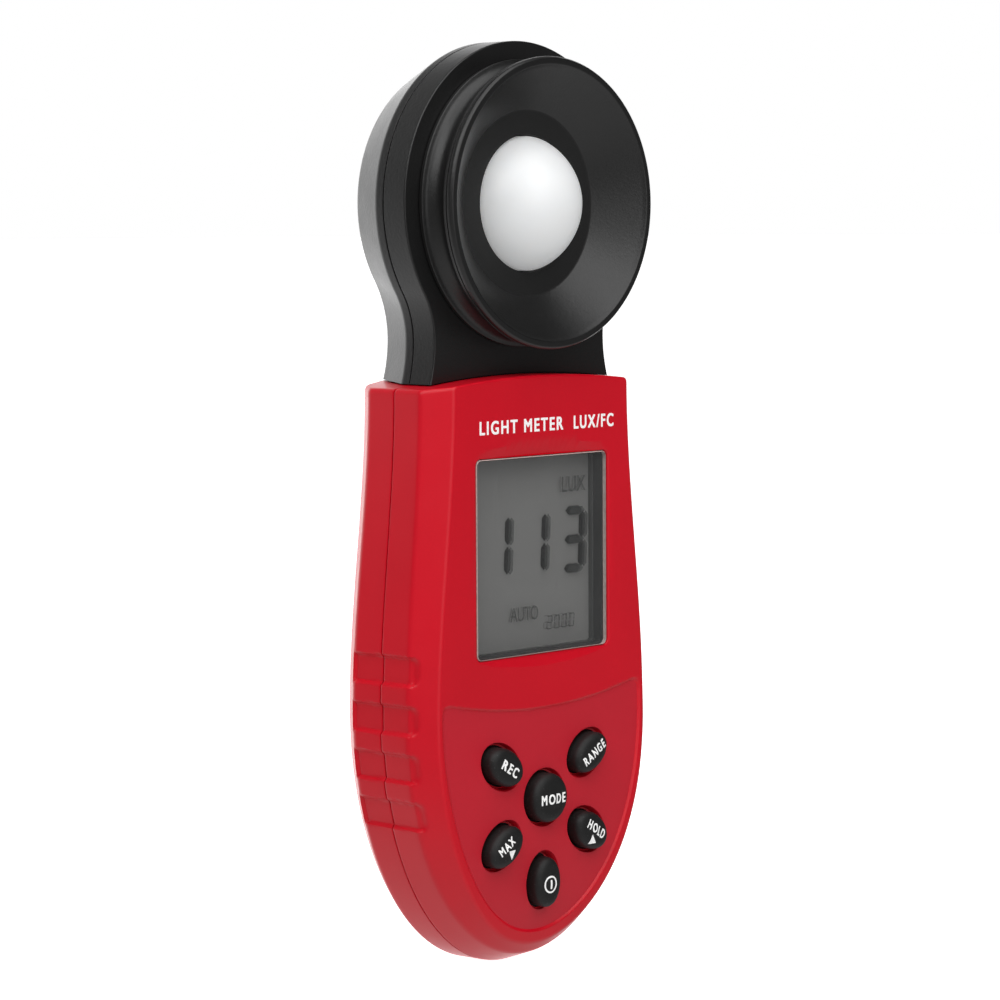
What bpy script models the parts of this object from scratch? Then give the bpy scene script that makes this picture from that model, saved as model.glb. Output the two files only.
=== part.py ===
"""Handheld light meter: a red two-shell grip with a display and six keys, and a black sensor head on its neck.

Frame: +Z runs up the meter from the grip to the sensor head, the display faces -Y, and the origin is the middle of
the whole object. Sizes below are in millimetres. A depth is measured from the flat face with the display, positive
towards the back, and a height is measured from the origin.
"""

import math

import bmesh
import bpy
from mathutils import Matrix, Vector

MM = 0.001
GAP = 0.3  # clearance between pieces that touch
FACE_Y = -9.35  # where the display face lies
WALL = 2.2  # moulded wall

# Grip: depth, half-width at the top, widest half-width, height of the widest place, lowest point
FACE = (0.0, 25.3, 30.2, -43.0, -89.4)
FRONT_EDGE = (4.7, 30.2, 34.35, -43.0, -91.8)
SEAM = (11.9, 30.4, 34.9, -40.5, -94.4)
REAR_EDGE = (19.0, 30.6, 35.6, -40.0, -94.7)
REAR_FACET = (23.4, 27.7, 32.7, -40.0, -91.8)  # where the steep chamfer behind the side ends
BACK = (25.0, 20.6, 25.6, -40.0, -84.7)
GRIP_TOP, GRIP_ARCH, GRIP_ARCH_AT = 27.5, 2.1, 30.0  # crown of the top, and how far it has dropped at the side

# Sensor head and neck
HEAD_Z, HEAD_R = 62.0, 32.7
HEAD_FRONT, HEAD_SEAM, TAPER_START, HEAD_BACK = 6.0, 12.1, 14.2, 25.0
TAPER_INSET = 4.7
WAIST_HALF, WAIST_Z, NECK_FLARE = 24.7, 34.8, 1.3
TONGUE_HALF, TONGUE_BOTTOM, TONGUE_TOP = 24.0, 17.0, 30.0
TONGUE_FRONT, TONGUE_REAR = 7.0, 20.0

# Sensor
DOME_R, DOME_BASE, DOME_HEIGHT, DOME_POWER, DOME_WALL = 13.55, 4.2, 10.5, 1.45, 1.8
DOME_SKIRT_END = 7.2
HOLDER_R, FILTER_R, SENSOR_BOARD_R = 13.3, 5.5, 15.5

# Display
WINDOW_HALF, WINDOW_TOP, WINDOW_BOTTOM = 19.1, 11.1, -29.2
LEDGE = 0.7  # how far the lip under the lens reaches in

# Keys: height and side offset of the centre, long and short half-size of the hole
MODE_KEY = (0.0, -58.96)
KEYS = {
    "mode": (0.0, -58.96, 5.5, 5.5),
    "rec": (-12.55, -51.15, 5.55, 4.05),
    "range": (12.55, -51.15, 5.55, 4.05),
    "max": (-12.6, -67.45, 5.55, 4.05),
    "hold": (12.6, -67.45, 5.55, 4.05),
    "power": (0.0, -76.5, 5.55, 4.05),
}
KEY_PROUD, KEY_CLEARANCE, KEY_FLANGE = 2.2, 0.35, 0.8
KEY_RINGS = ((1.35, -0.6), (0.0, 1.2), (0.0, WALL + 1.0))  # growth of the hole and depth: a sloped rim, then straight
STEM_R, STEM_END, SWITCH_FRONT, SWITCH_HALF = 1.6, 4.7, 5.8, 2.6

# Boards and battery bay
BOARD_FRONT, BOARD_BACK = 7.5, 9.1
BAY_HALF, BAY_TOP, BAY_BOTTOM, BAY_WALL = 17.5, -18.0, -69.5, 1.4
BATTERY_R, BATTERY_LENGTH, BATTERY_PITCH = 5.25, 44.5, 11.4
BATTERY_DEPTH, BATTERY_BOTTOM = 17.45, -67.0
DOOR_INNER = 23.1
TAB_X, TAB_HALF = 5.7, 1.7

# Fasteners: side offset and height of each
CASE_SCREWS = [(-25.3, 8.0), (25.3, 8.0), (-26.0, -56.0), (26.0, -56.0)]
HEAD_SCREW_R = 22.0
HEAD_SCREW_ANGLES = (90.0, 210.0, 330.0)
SCREW_SHANK, SCREW_HEAD, SCREW_HEAD_HEIGHT = 1.0, 2.4, 1.8
FRONT_POST_R, REAR_POST_R, COUNTERBORE_R = 2.6, 3.6, 2.8

# Grip pads down each side
PAD_TOPS = (-27.0, -36.8, -46.5, -56.2)
PAD_HEIGHT, PAD_DEPTH = 6.3, 0.6
PAD_ROWS = (3.0, 4.7, 11.9, 17.6)


def clear_scene():
    for old in list(bpy.data.objects):
        bpy.data.objects.remove(old, do_unlink=True)


def material(name, color, roughness, metallic=0.0):
    found = bpy.data.materials.get(name)
    if found:
        return found
    made = bpy.data.materials.new(name)
    made.use_nodes = True
    shader = made.node_tree.nodes["Principled BSDF"]
    shader.inputs["Base Color"].default_value = (*color, 1.0)
    shader.inputs["Roughness"].default_value = roughness
    shader.inputs["Metallic"].default_value = metallic
    made.diffuse_color = (*color, 1.0)
    return made


def red():
    return material("red_plastic", (0.55, 0.012, 0.03), 0.38)


def black():
    return material("black_plastic", (0.02, 0.02, 0.022), 0.42)


def point(x, depth, z):
    return Vector((x, FACE_Y + depth, z)) * MM


def finish(mesh_data, name, look, parent, origin=None):
    """Turns a bmesh in world metres into a named object, with its origin moved to the given place."""
    bmesh.ops.recalc_face_normals(mesh_data, faces=mesh_data.faces)
    if origin is not None:
        bmesh.ops.transform(mesh_data, matrix=Matrix.Translation(-origin), verts=mesh_data.verts)
    mesh = bpy.data.meshes.new(name)
    mesh_data.to_mesh(mesh)
    mesh_data.free()
    mesh.shade_smooth()
    mesh.set_sharp_from_angle(angle=math.radians(35))
    made = bpy.data.objects.new(name, mesh)
    bpy.context.scene.collection.objects.link(made)
    if look is not None:
        mesh.materials.append(look)
    if parent is not None:
        made.parent = parent
    if origin is not None:
        made.location = origin
    return made


def loft(data, loops):
    """Adds a closed solid through loops of equal length, with a face over each end."""
    rings = [[data.verts.new(place) for place in loop] for loop in loops]
    count = len(rings[0])
    for near, far in zip(rings, rings[1:]):
        for i in range(count):
            after = (i + 1) % count
            data.faces.new((near[i], near[after], far[after], far[i]))
    data.faces.new(rings[0])
    data.faces.new(reversed(rings[-1]))


def block(data, low, high):
    """Adds a box between two corners, each given as x, depth, z."""
    (x0, d0, z0), (x1, d1, z1) = low, high
    corners = [(x0, z0), (x1, z0), (x1, z1), (x0, z1)]
    loft(data, [[point(x, d, z) for x, z in corners] for d in (d0, d1)])


def prism(data, outline, front, rear):
    """Adds an outline of x, z pairs, run from one depth to another."""
    loft(data, [[point(x, d, z) for x, z in outline] for d in (front, rear)])


def oval(half_long, half_short, x=0.0, z=0.0, angle=0.0, steps=24):
    found = []
    for i in range(steps):
        turn = 2 * math.pi * i / steps
        along, across = half_long * math.cos(turn), half_short * math.sin(turn)
        found.append((
            x + along * math.cos(angle) - across * math.sin(angle),
            z + along * math.sin(angle) + across * math.cos(angle),
        ))
    return found


def stack(data, rings, x=0.0, z=0.0, steps=24):
    """Adds a round solid about a line along Y, from (radius, depth) pairs."""
    loft(data, [[point(px, depth, pz) for px, pz in oval(r, r, x, z, steps=steps)] for r, depth in rings])


def turned_ring(data, profile, x, z, steps):
    """Adds a ring about a line along Y from a closed profile of (radius, depth) pairs."""
    rings = []
    for i in range(steps):
        turn = 2 * math.pi * i / steps
        rings.append([
            data.verts.new(point(x + r * math.cos(turn), depth, z + r * math.sin(turn)))
            for r, depth in profile
        ])
    count = len(profile)
    for i in range(steps):
        near, far = rings[i], rings[(i + 1) % steps]
        for j in range(count):
            after = (j + 1) % count
            data.faces.new((near[j], near[after], far[after], far[j]))


def tool(name, fill):
    """A hidden solid that a Boolean uses. fill adds its shapes."""
    data = bmesh.new()
    fill(data)
    made = finish(data, name, None, None)
    made.hide_render = True
    made.display_type = "WIRE"
    return made


def combine(target, other, operation):
    step = target.modifiers.new(operation.lower(), "BOOLEAN")
    step.operation = operation
    step.solver = "EXACT"
    step.object = other


def add(target, name, fill):
    combine(target, tool(name, fill), "UNION")


def cut(target, name, fill):
    combine(target, tool(name, fill), "DIFFERENCE")


# --- Grip shells ---


def smooth(t):
    return t * t * (3 - 2 * t)


def crown(x):
    """Height of the grip's arched top at a side offset."""
    return GRIP_TOP - GRIP_ARCH * (x / GRIP_ARCH_AT) ** 2


def half_width(level, z):
    """Half-width of the grip's outline at a height, for one level of depth."""
    _, top, widest, widest_z, bottom = level
    if z >= widest_z:
        start = crown(top)
        return top + (widest - top) * smooth(min(1.0, max(0.0, (start - z) / (start - widest_z))))
    return widest * math.sqrt(max(0.0, 1 - ((widest_z - z) / (widest_z - bottom)) ** 2))


def grip_loop(level, inset=0.0, depth=None):
    """The grip's outline at one level, moved in by a wall."""
    own_depth, top, widest, widest_z, bottom = level
    level = (own_depth, top - inset, widest - inset, widest_z, bottom + inset)
    depth = own_depth if depth is None else depth
    corner = top - inset
    right = [(corner * i / 4, crown(corner * i / 4) - inset) for i in range(5)]
    corner_z = right[-1][1]
    for i in range(1, 8):
        z = corner_z + (widest_z - corner_z) * i / 7
        right.append((half_width(level, z), z))
    for i in range(1, 11):
        turn = math.pi / 2 * i / 10
        right.append((level[2] * math.cos(turn), widest_z - (widest_z - level[4]) * math.sin(turn)))
    right[-1] = (0.0, level[4])
    left = [(-x, z) for x, z in right[-2:0:-1]]
    return [point(x, depth, z) for x, z in right + left]


def side_at(depth, z):
    """Half-width of the grip's outer surface at a depth and a height."""
    levels = (FACE, FRONT_EDGE, SEAM, REAR_EDGE, REAR_FACET, BACK)
    for near, far in zip(levels, levels[1:]):
        if depth <= far[0]:
            share = (depth - near[0]) / (far[0] - near[0])
            return half_width(near, z) * (1 - share) + half_width(far, z) * share
    return half_width(BACK, z)


def front_surface(x, z):
    """Depth of the grip's front surface, which slopes back from the face to its edge."""
    inner, outer = half_width(FACE, z), half_width(FRONT_EDGE, z)
    return FRONT_EDGE[0] * min(1.0, max(0.0, (abs(x) - inner) / (outer - inner)))


def rear_surface(x, z):
    inner, outer = half_width(BACK, z), half_width(REAR_EDGE, z)
    share = min(1.0, max(0.0, (abs(x) - inner) / (outer - inner)))
    return BACK[0] - (BACK[0] - REAR_EDGE[0]) * share


def cup(name, outer, inner, look, parent):
    """A moulded shell: its outside from the closed end to the open rim, then its inside back to the closed end."""
    data = bmesh.new()
    loft(data, outer + inner)
    return finish(data, name, look, parent)


def pad_recesses(data):
    """Shallow finger pads down both sides of the grip, across the seam."""
    steps = 4
    for side in (-1, 1):
        for top in PAD_TOPS:
            heights = [top - PAD_HEIGHT * i / steps for i in range(steps + 1)]
            rows = []
            for depth in PAD_ROWS:
                inner = [(side * (side_at(depth, z) - PAD_DEPTH), z) for z in heights]
                outer = [(side * (side_at(SEAM[0], z) + 4.0), z) for z in reversed(heights)]
                rows.append([point(x, depth, z) for x, z in inner + outer])
            loft(data, rows)


def front_post(data, x, z):
    ring = oval(FRONT_POST_R, FRONT_POST_R, x, z, steps=16)
    front = [point(px, front_surface(px, pz) + 0.9, pz) for px, pz in ring]
    loft(data, [front, [point(px, SEAM[0] - GAP / 2, pz) for px, pz in ring]])


def rear_post(data, x, z):
    ring = oval(REAR_POST_R, REAR_POST_R, x, z, steps=16)
    rear = [point(px, rear_surface(px, pz) - 0.9, pz) for px, pz in ring]
    loft(data, [[point(px, SEAM[0] + GAP / 2, pz) for px, pz in ring], rear])


def neck_mouth(data):
    half = TONGUE_HALF + GAP
    block(data, (-half, TONGUE_FRONT - GAP, 15.0), (half, TONGUE_REAR + GAP, 40.0))


def key_angle(x, z):
    """Each outer key points at the middle one."""
    return math.atan2(MODE_KEY[1] - z, MODE_KEY[0] - x) if (x, z) != MODE_KEY else 0.0


def front_openings(data):
    """Everything cut through the front shell: the display window, its lens recess and the key holes."""
    half, top, bottom = WINDOW_HALF + GAP, WINDOW_TOP + GAP, WINDOW_BOTTOM - GAP
    block(data, (-half, -2.0, bottom), (half, 1.5, top))
    for x, z, half_long, half_short in KEYS.values():
        angle = key_angle(x, z)
        loft(data, [
            [point(px, depth, pz) for px, pz in oval(half_long + more, half_short + more, x, z, angle)]
            for more, depth in KEY_RINGS
        ])


def window_opening(data):
    half, top, bottom = WINDOW_HALF - LEDGE, WINDOW_TOP - LEDGE, WINDOW_BOTTOM + LEDGE
    block(data, (-half, 0.5, bottom), (half, WALL + 1.0, top))


def front_shell(parent):
    rim = SEAM[0] - GAP / 2
    outer = [grip_loop(FACE), grip_loop(FRONT_EDGE), grip_loop(SEAM, depth=rim)]
    inner = [grip_loop(SEAM, WALL, rim), grip_loop(FRONT_EDGE, WALL, 6.2), grip_loop(FACE, WALL, WALL)]
    shell = cup("front_shell", outer, inner, red(), parent)
    add(shell, "front_posts", lambda data: [front_post(data, x, z) for x, z in CASE_SCREWS])
    cut(shell, "front_cuts", front_openings)
    cut(shell, "window_cut", window_opening)
    cut(shell, "front_screw_holes", lambda data: [
        stack(data, [(1.3, 5.0), (1.3, 14.0)], x, z, 12) for x, z in CASE_SCREWS
    ])
    cut(shell, "front_mouth", neck_mouth)
    cut(shell, "front_pads", pad_recesses)


def rear_shell(parent):
    rim = SEAM[0] + GAP / 2
    outer = [grip_loop(BACK), grip_loop(REAR_FACET), grip_loop(REAR_EDGE), grip_loop(SEAM, depth=rim)]
    inner = [grip_loop(SEAM, WALL, rim), grip_loop(REAR_EDGE, WALL, 17.8), grip_loop(BACK, WALL, 25.0 - WALL)]
    shell = cup("rear_shell", outer, inner, red(), parent)
    bay_outer = BAY_HALF + BAY_WALL
    add(shell, "rear_posts", lambda data: [rear_post(data, x, z) for x, z in CASE_SCREWS])
    add(shell, "bay_block", lambda data: block(
        data, (-bay_outer, 10.6, BAY_BOTTOM - 3.2), (bay_outer, 24.0, BAY_TOP + BAY_WALL)))
    cut(shell, "bay_cut", lambda data: block(
        data, (-BAY_HALF, SEAM[0], BAY_BOTTOM), (BAY_HALF, 27.0, BAY_TOP)))
    cut(shell, "tab_slots", lambda data: [
        block(data, (side * TAB_X - TAB_HALF - GAP, 21.2, BAY_BOTTOM - 1.9),
              (side * TAB_X + TAB_HALF + GAP, 23.0, BAY_BOTTOM + 0.5)) for side in (-1, 1)
    ])
    cut(shell, "rear_screw_holes", lambda data: [
        stack(data, [(1.4, 10.0), (1.4, 16.0), (COUNTERBORE_R, 16.0), (COUNTERBORE_R, 28.0)], x, z, 16)
        for x, z in CASE_SCREWS
    ])
    cut(shell, "rear_mouth", neck_mouth)
    cut(shell, "rear_pads", pad_recesses)


# --- Sensor head ---


def head_loop(inset, depth, wall=0.0):
    """Outline of the head and neck: a circle, a hollow curve into the waist, and a slight flare at the foot."""
    radius = HEAD_R - inset - wall
    foot_half = WAIST_HALF + NECK_FLARE - inset - wall
    waist = WAIST_HALF - inset - wall
    drop = HEAD_Z - WAIST_Z
    hollow = (WAIST_HALF**2 + drop**2 - HEAD_R**2) / (2 * (HEAD_R - WAIST_HALF))
    centre_x = WAIST_HALF + hollow
    hollow += inset + wall
    lean = math.atan2(drop, centre_x)
    right = []
    for i in range(5):
        x = foot_half * i / 4
        right.append((x, crown(x) + GAP + wall))
    foot_z = right[-1][1]
    for i in range(1, 4):
        z = foot_z + (WAIST_Z - foot_z) * i / 4
        right.append((waist + NECK_FLARE * ((WAIST_Z - z) / (WAIST_Z - foot_z)) ** 2, z))
    for i in range(6):
        turn = lean * i / 6
        right.append((centre_x - hollow * math.cos(turn), WAIST_Z + hollow * math.sin(turn)))
    for i in range(16):
        turn = -lean + (math.pi / 2 + lean) * i / 15
        right.append((radius * math.cos(turn), HEAD_Z + radius * math.sin(turn)))
    right[-1] = (0.0, HEAD_Z + radius)
    left = [(-x, z) for x, z in right[-2:0:-1]]
    return [point(x, depth, z) for x, z in right + left]


def head_screw_places():
    turns = [math.radians(angle) for angle in HEAD_SCREW_ANGLES]
    return [(HEAD_SCREW_R * math.cos(turn), HEAD_Z + HEAD_SCREW_R * math.sin(turn)) for turn in turns]


def lead_channel(data):
    block(data, (-7.0, 10.6, 12.0), (7.0, 13.5, 42.0))


def head_front_shell(parent):
    rim = HEAD_SEAM - GAP / 2
    outer = [head_loop(0.9, HEAD_FRONT), head_loop(0.1, HEAD_FRONT + 0.8), head_loop(0.0, rim)]
    inner = [head_loop(0.0, rim, WALL), head_loop(0.0, HEAD_FRONT + WALL, WALL)]
    shell = cup("head_front_shell", outer, inner, black(), parent)
    add(shell, "front_tongue", lambda data: block(
        data, (-TONGUE_HALF, TONGUE_FRONT, TONGUE_BOTTOM), (TONGUE_HALF, rim, TONGUE_TOP)))
    add(shell, "head_front_posts", lambda data: [
        stack(data, [(FRONT_POST_R, 7.0), (FRONT_POST_R, rim)], x, z, 16) for x, z in head_screw_places()
    ])
    cut(shell, "sensor_hole", lambda data: stack(
        data, [(DOME_R + GAP, 4.0), (DOME_R + GAP, 9.0)], 0.0, HEAD_Z, 48))
    cut(shell, "head_front_holes", lambda data: [
        stack(data, [(1.3, 8.0), (1.3, 14.0)], x, z, 12) for x, z in head_screw_places()
    ])
    cut(shell, "front_channel", lead_channel)


def head_rear_shell(parent):
    rim = HEAD_SEAM + GAP / 2
    outer = [head_loop(TAPER_INSET, HEAD_BACK), head_loop(0.2, TAPER_START), head_loop(0.0, rim)]
    inner = [
        head_loop(0.0, rim, WALL),
        head_loop(0.2, TAPER_START, WALL),
        head_loop(TAPER_INSET - 0.9, HEAD_BACK - WALL, WALL),
    ]
    shell = cup("head_rear_shell", outer, inner, black(), parent)
    add(shell, "rear_tongue", lambda data: block(
        data, (-TONGUE_HALF + 4.0, rim, TONGUE_BOTTOM), (TONGUE_HALF - 4.0, TONGUE_REAR, TONGUE_TOP)))
    add(shell, "head_rear_posts", lambda data: [
        stack(data, [(REAR_POST_R, rim), (REAR_POST_R, HEAD_BACK - 1.0)], x, z, 16)
        for x, z in head_screw_places()
    ])
    cut(shell, "head_rear_holes", lambda data: [
        stack(data, [(1.4, 10.0), (1.4, 18.5), (COUNTERBORE_R, 18.5), (COUNTERBORE_R, 28.0)], x, z, 16)
        for x, z in head_screw_places()
    ])
    cut(shell, "rear_channel", lead_channel)


def bezel_cup(parent):
    """The raised collar with its conical dish, glued to the head around the diffuser."""
    floor_r, floor, rear = 18.75, 3.9, HEAD_FRONT - GAP
    profile = [
        (28.0, -3.55), (28.9, -3.45), (29.35, -1.3), (28.6, -0.9), (27.0, 0.9), (26.5, 2.6),
        (27.1, 4.2), (28.6, 5.0), (29.0, 5.3), (29.0, rear), (DOME_R + GAP, rear), (DOME_R + GAP, floor),
        (floor_r, floor), (27.3, -3.1),
    ]
    data = bmesh.new()
    turned_ring(data, profile, 0.0, HEAD_Z, 48)
    finish(data, "bezel_cup", black(), parent)


def diffuser_dome(parent):
    """A white bulging shell, open behind, with a skirt that passes through the head's front wall."""
    rings = [(DOME_R, DOME_SKIRT_END)]
    steps = 8
    for i in range(steps):
        turn = math.pi / 2 * (1 - i / steps)
        rings.append((DOME_R * math.sin(turn), DOME_BASE - DOME_HEIGHT * math.cos(turn) ** DOME_POWER))
    inner_r, inner_height = DOME_R - DOME_WALL, DOME_HEIGHT - DOME_WALL
    inner = []
    for i in range(1, 6):
        turn = math.pi / 2 * i / 5
        inner.append((inner_r * math.sin(turn), DOME_BASE - inner_height * math.cos(turn) ** DOME_POWER))
    inner.append((inner_r, DOME_SKIRT_END))
    data = bmesh.new()
    loops = []
    for r, depth in rings:
        loops.append([data.verts.new(point(x, depth, z + HEAD_Z)) for x, z in oval(r, r, steps=40)])
    tip = data.verts.new(point(0.0, DOME_BASE - DOME_HEIGHT, HEAD_Z))
    inside = [
        [data.verts.new(point(x, depth, z + HEAD_Z)) for x, z in oval(r, r, steps=40)] for r, depth in inner
    ]
    under = data.verts.new(point(0.0, DOME_BASE - inner_height, HEAD_Z))
    count = 40
    for chain in (loops, inside):
        for near, far in zip(chain, chain[1:]):
            for i in range(count):
                data.faces.new((near[i], near[(i + 1) % count], far[(i + 1) % count], far[i]))
    for i in range(count):
        after = (i + 1) % count
        data.faces.new((loops[-1][i], loops[-1][after], tip))
        data.faces.new((inside[0][i], inside[0][after], under))
        data.faces.new((inside[-1][i], inside[-1][after], loops[0][after], loops[0][i]))
    finish(data, "diffuser_dome", material("white_diffuser", (0.86, 0.86, 0.86), 0.35), parent)


def sensor_parts(parent):
    """Behind the dome: the holder, the colour filter, the light cell, its board and the lead to the main board."""
    data = bmesh.new()
    holder = [(HOLDER_R, 7.5), (HOLDER_R, 10.3), (FILTER_R + 0.4, 10.3), (FILTER_R + 0.4, 7.5)]
    turned_ring(data, holder, 0.0, HEAD_Z, 32)
    finish(data, "sensor_holder", black(), parent)

    data = bmesh.new()
    stack(data, [(FILTER_R, 7.8), (FILTER_R, 8.8)], 0.0, HEAD_Z)
    finish(data, "correction_filter", material("filter_glass", (0.25, 0.5, 0.3), 0.1), parent)

    data = bmesh.new()
    block(data, (-3.2, 9.1, HEAD_Z - 3.2), (3.2, 10.3, HEAD_Z + 3.2))
    finish(data, "photodiode", material("silicon", (0.03, 0.03, 0.05), 0.2), parent)

    data = bmesh.new()
    stack(data, [(SENSOR_BOARD_R, 10.6), (SENSOR_BOARD_R, 11.8)], 0.0, HEAD_Z, 32)
    finish(data, "sensor_board", board_look(), parent)

    data = bmesh.new()
    block(data, (-4.5, 12.1, 8.0), (4.5, 12.6, 50.0))
    finish(data, "sensor_ribbon", material("ribbon", (0.45, 0.45, 0.47), 0.5), parent)


# --- Display and boards ---


def board_look():
    return material("circuit_board", (0.02, 0.18, 0.08), 0.4)


def display_parts(parent):
    data = bmesh.new()
    block(data, (-WINDOW_HALF, 0.2, WINDOW_BOTTOM), (WINDOW_HALF, 1.2, WINDOW_TOP))
    finish(data, "display_lens", material("clear_lens", (0.75, 0.77, 0.78), 0.05), parent)

    data = bmesh.new()
    block(data, (-20.0, 2.8, WINDOW_BOTTOM - 1.5), (20.0, 4.8, WINDOW_TOP + 1.8))
    finish(data, "lcd_glass", material("lcd_grey", (0.2, 0.21, 0.2), 0.12), parent)

    data = bmesh.new()
    block(data, (-21.6, 2.5, WINDOW_BOTTOM - 3.0), (21.6, 7.2, WINDOW_TOP + 3.3))
    frame = finish(data, "lcd_frame", black(), parent)
    cut(frame, "lcd_frame_cut", lambda shape: block(
        shape, (-20.4, 1.0, WINDOW_BOTTOM - 1.9), (20.4, 9.0, WINDOW_TOP + 2.2)))

    strip = material("contact_rubber", (0.6, 0.3, 0.35), 0.7)
    for name, low in (("zebra_strip_upper", WINDOW_TOP - 0.6), ("zebra_strip_lower", WINDOW_BOTTOM - 1.4)):
        data = bmesh.new()
        block(data, (-18.5, 5.1, low), (18.5, 7.2, low + 2.2))
        finish(data, name, strip, parent)


def boards(parent):
    data = bmesh.new()
    outline = [(-22.0, 14.4), (-22.0, -62.0), (-12.0, -82.0), (12.0, -82.0), (22.0, -62.0), (22.0, 14.4)]
    prism(data, outline, BOARD_FRONT, BOARD_BACK)
    finish(data, "main_board", board_look(), parent)

    chip = material("chip_black", (0.02, 0.02, 0.02), 0.5)
    data = bmesh.new()
    block(data, (-5.5, BOARD_BACK + GAP, -9.0), (5.5, BOARD_BACK + GAP + 1.2, 2.0))
    finish(data, "processor_chip", chip, parent)

    data = bmesh.new()
    block(data, (-6.0, BOARD_BACK + GAP, 8.0), (6.0, 11.8, 12.5))
    finish(data, "ribbon_connector", material("white_plastic", (0.7, 0.7, 0.7), 0.5), parent)


# --- Keys ---


def key(name, parent):
    """A rubber cap with a retaining flange behind the shell and a stem that reaches its switch."""
    x, z, half_long, half_short = KEYS[name]
    angle = key_angle(x, z)
    slim = -KEY_CLEARANCE
    levels = [
        (slim - 2.6, -KEY_PROUD), (slim - 1.0, -KEY_PROUD + 0.25), (slim - 0.15, -KEY_PROUD + 0.9),
        (slim, -0.4), (slim, WALL + GAP), (KEY_FLANGE, WALL + GAP), (KEY_FLANGE, WALL + GAP + 1.0),
    ]
    loops = [
        [point(px, depth, pz) for px, pz in oval(half_long + more, half_short + more, x, z, angle)]
        for more, depth in levels
    ]
    for depth in (WALL + GAP + 1.0, STEM_END):
        loops.append([point(px, depth, pz) for px, pz in oval(STEM_R, STEM_R, x, z, angle)])
    data = bmesh.new()
    loft(data, loops)
    rubber = material("black_rubber", (0.015, 0.015, 0.016), 0.5)
    finish(data, "key_" + name, rubber, parent, point(x, 0.0, z))

    data = bmesh.new()
    half = SWITCH_HALF
    block(data, (x - half, SWITCH_FRONT, z - half), (x + half, BOARD_FRONT - GAP, z + half))
    finish(data, "switch_" + name, material("switch_metal", (0.5, 0.5, 0.52), 0.3, 1.0), parent)


# --- Battery bay ---


def battery(index, parent):
    """An AAA cell along Z; the middle one is the other way up."""
    x = (index - 2) * BATTERY_PITCH
    up = 1 if index != 2 else -1
    low, high = BATTERY_BOTTOM, BATTERY_BOTTOM + BATTERY_LENGTH
    start, end = (low, high) if up > 0 else (high, low)
    places = [(4.9, 0.0), (BATTERY_R, 0.5), (BATTERY_R, 43.0), (4.7, 43.5), (1.9, 43.5), (1.9, BATTERY_LENGTH)]
    data = bmesh.new()
    loops = []
    for r, along in places:
        height = start + (end - start) * along / BATTERY_LENGTH
        ring = oval(r, r, x, BATTERY_DEPTH, steps=20)
        loops.append([point(px, depth, height) for px, depth in ring])
    loft(data, loops)
    finish(data, "battery_%d" % index, material("battery_wrap", (0.1, 0.1, 0.12), 0.3, 0.3), parent)


def battery_contacts(parent):
    """A pressed strip at each end of the bay, with a leaf that reaches each cell."""
    metal = material("contact_nickel", (0.6, 0.6, 0.58), 0.25, 1.0)
    low_plate, high_plate = BAY_BOTTOM + GAP, BAY_TOP - GAP
    for name, base, direction, reach in (
        ("battery_contact_lower", low_plate, 1, BATTERY_BOTTOM - GAP - low_plate),
        ("battery_contact_upper", high_plate, -1, high_plate - BATTERY_BOTTOM - BATTERY_LENGTH - GAP),
    ):
        outline = [(-16.6, base)]
        for index in (-1, 0, 1):
            x = index * BATTERY_PITCH
            outline += [(x - 3.4, base), (x - 1.5, base + direction * (reach - 0.4))]
            outline += [(x + 1.5, base + direction * (reach - 0.4)), (x + 3.4, base)]
        outline.append((16.6, base))
        thick = [(x, z + direction * 0.4) for x, z in reversed(outline)]
        data = bmesh.new()
        prism(data, outline + thick, 14.0, 20.8)
        finish(data, name, metal, parent)


def battery_door(parent):
    """The lid of the bay. Its lower edge is the hinge line, and two tabs hook under the shell there."""
    half = BAY_HALF - GAP
    low, high = BAY_BOTTOM + GAP, BAY_TOP - GAP
    hinge = point(0.0, BACK[0], BAY_BOTTOM)
    data = bmesh.new()
    block(data, (-half, DOOR_INNER, low), (half, BACK[0], high))
    door = finish(data, "battery_door", red(), parent, hinge)

    def tabs(data):
        for side in (-1, 1):
            x0, x1 = side * TAB_X - TAB_HALF, side * TAB_X + TAB_HALF
            profile = [(21.7, low - 1.6), (22.7, low - 1.6), (22.7, low + 0.3), (23.6, low + 0.3),
                       (23.6, low + 2.0), (21.7, low + 2.0)]
            loft(data, [[point(x, depth, z) for depth, z in profile] for x in (x0, x1)])

    add(door, "door_tabs", tabs)


# --- Fasteners ---


def screw(name, x, z, tip, seat, parent):
    data = bmesh.new()
    rings = [(0.4, tip), (SCREW_SHANK, tip + 1.0), (SCREW_SHANK, seat + GAP), (SCREW_HEAD, seat + GAP)]
    rings += [(SCREW_HEAD, seat + GAP + 1.2), (SCREW_HEAD - 0.6, seat + GAP + SCREW_HEAD_HEIGHT)]
    stack(data, rings, x, z, 16)
    finish(data, name, material("zinc_steel", (0.55, 0.55, 0.56), 0.3, 1.0), parent)


def main():
    clear_scene()
    bpy.context.scene.unit_settings.system = "METRIC"
    meter = bpy.data.objects.new("meter", None)
    bpy.context.scene.collection.objects.link(meter)
    front_shell(meter)
    rear_shell(meter)
    head_front_shell(meter)
    head_rear_shell(meter)
    bezel_cup(meter)
    diffuser_dome(meter)
    sensor_parts(meter)
    display_parts(meter)
    boards(meter)
    for name in KEYS:
        key(name, meter)
    for index in (1, 2, 3):
        battery(index, meter)
    battery_contacts(meter)
    battery_door(meter)
    for number, (x, z) in enumerate(CASE_SCREWS, 1):
        screw("case_screw_%d" % number, x, z, 5.6, 16.0, meter)
    for number, (x, z) in enumerate(head_screw_places(), 1):
        screw("head_screw_%d" % number, x, z, 8.8, 18.5, meter)


main()
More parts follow.
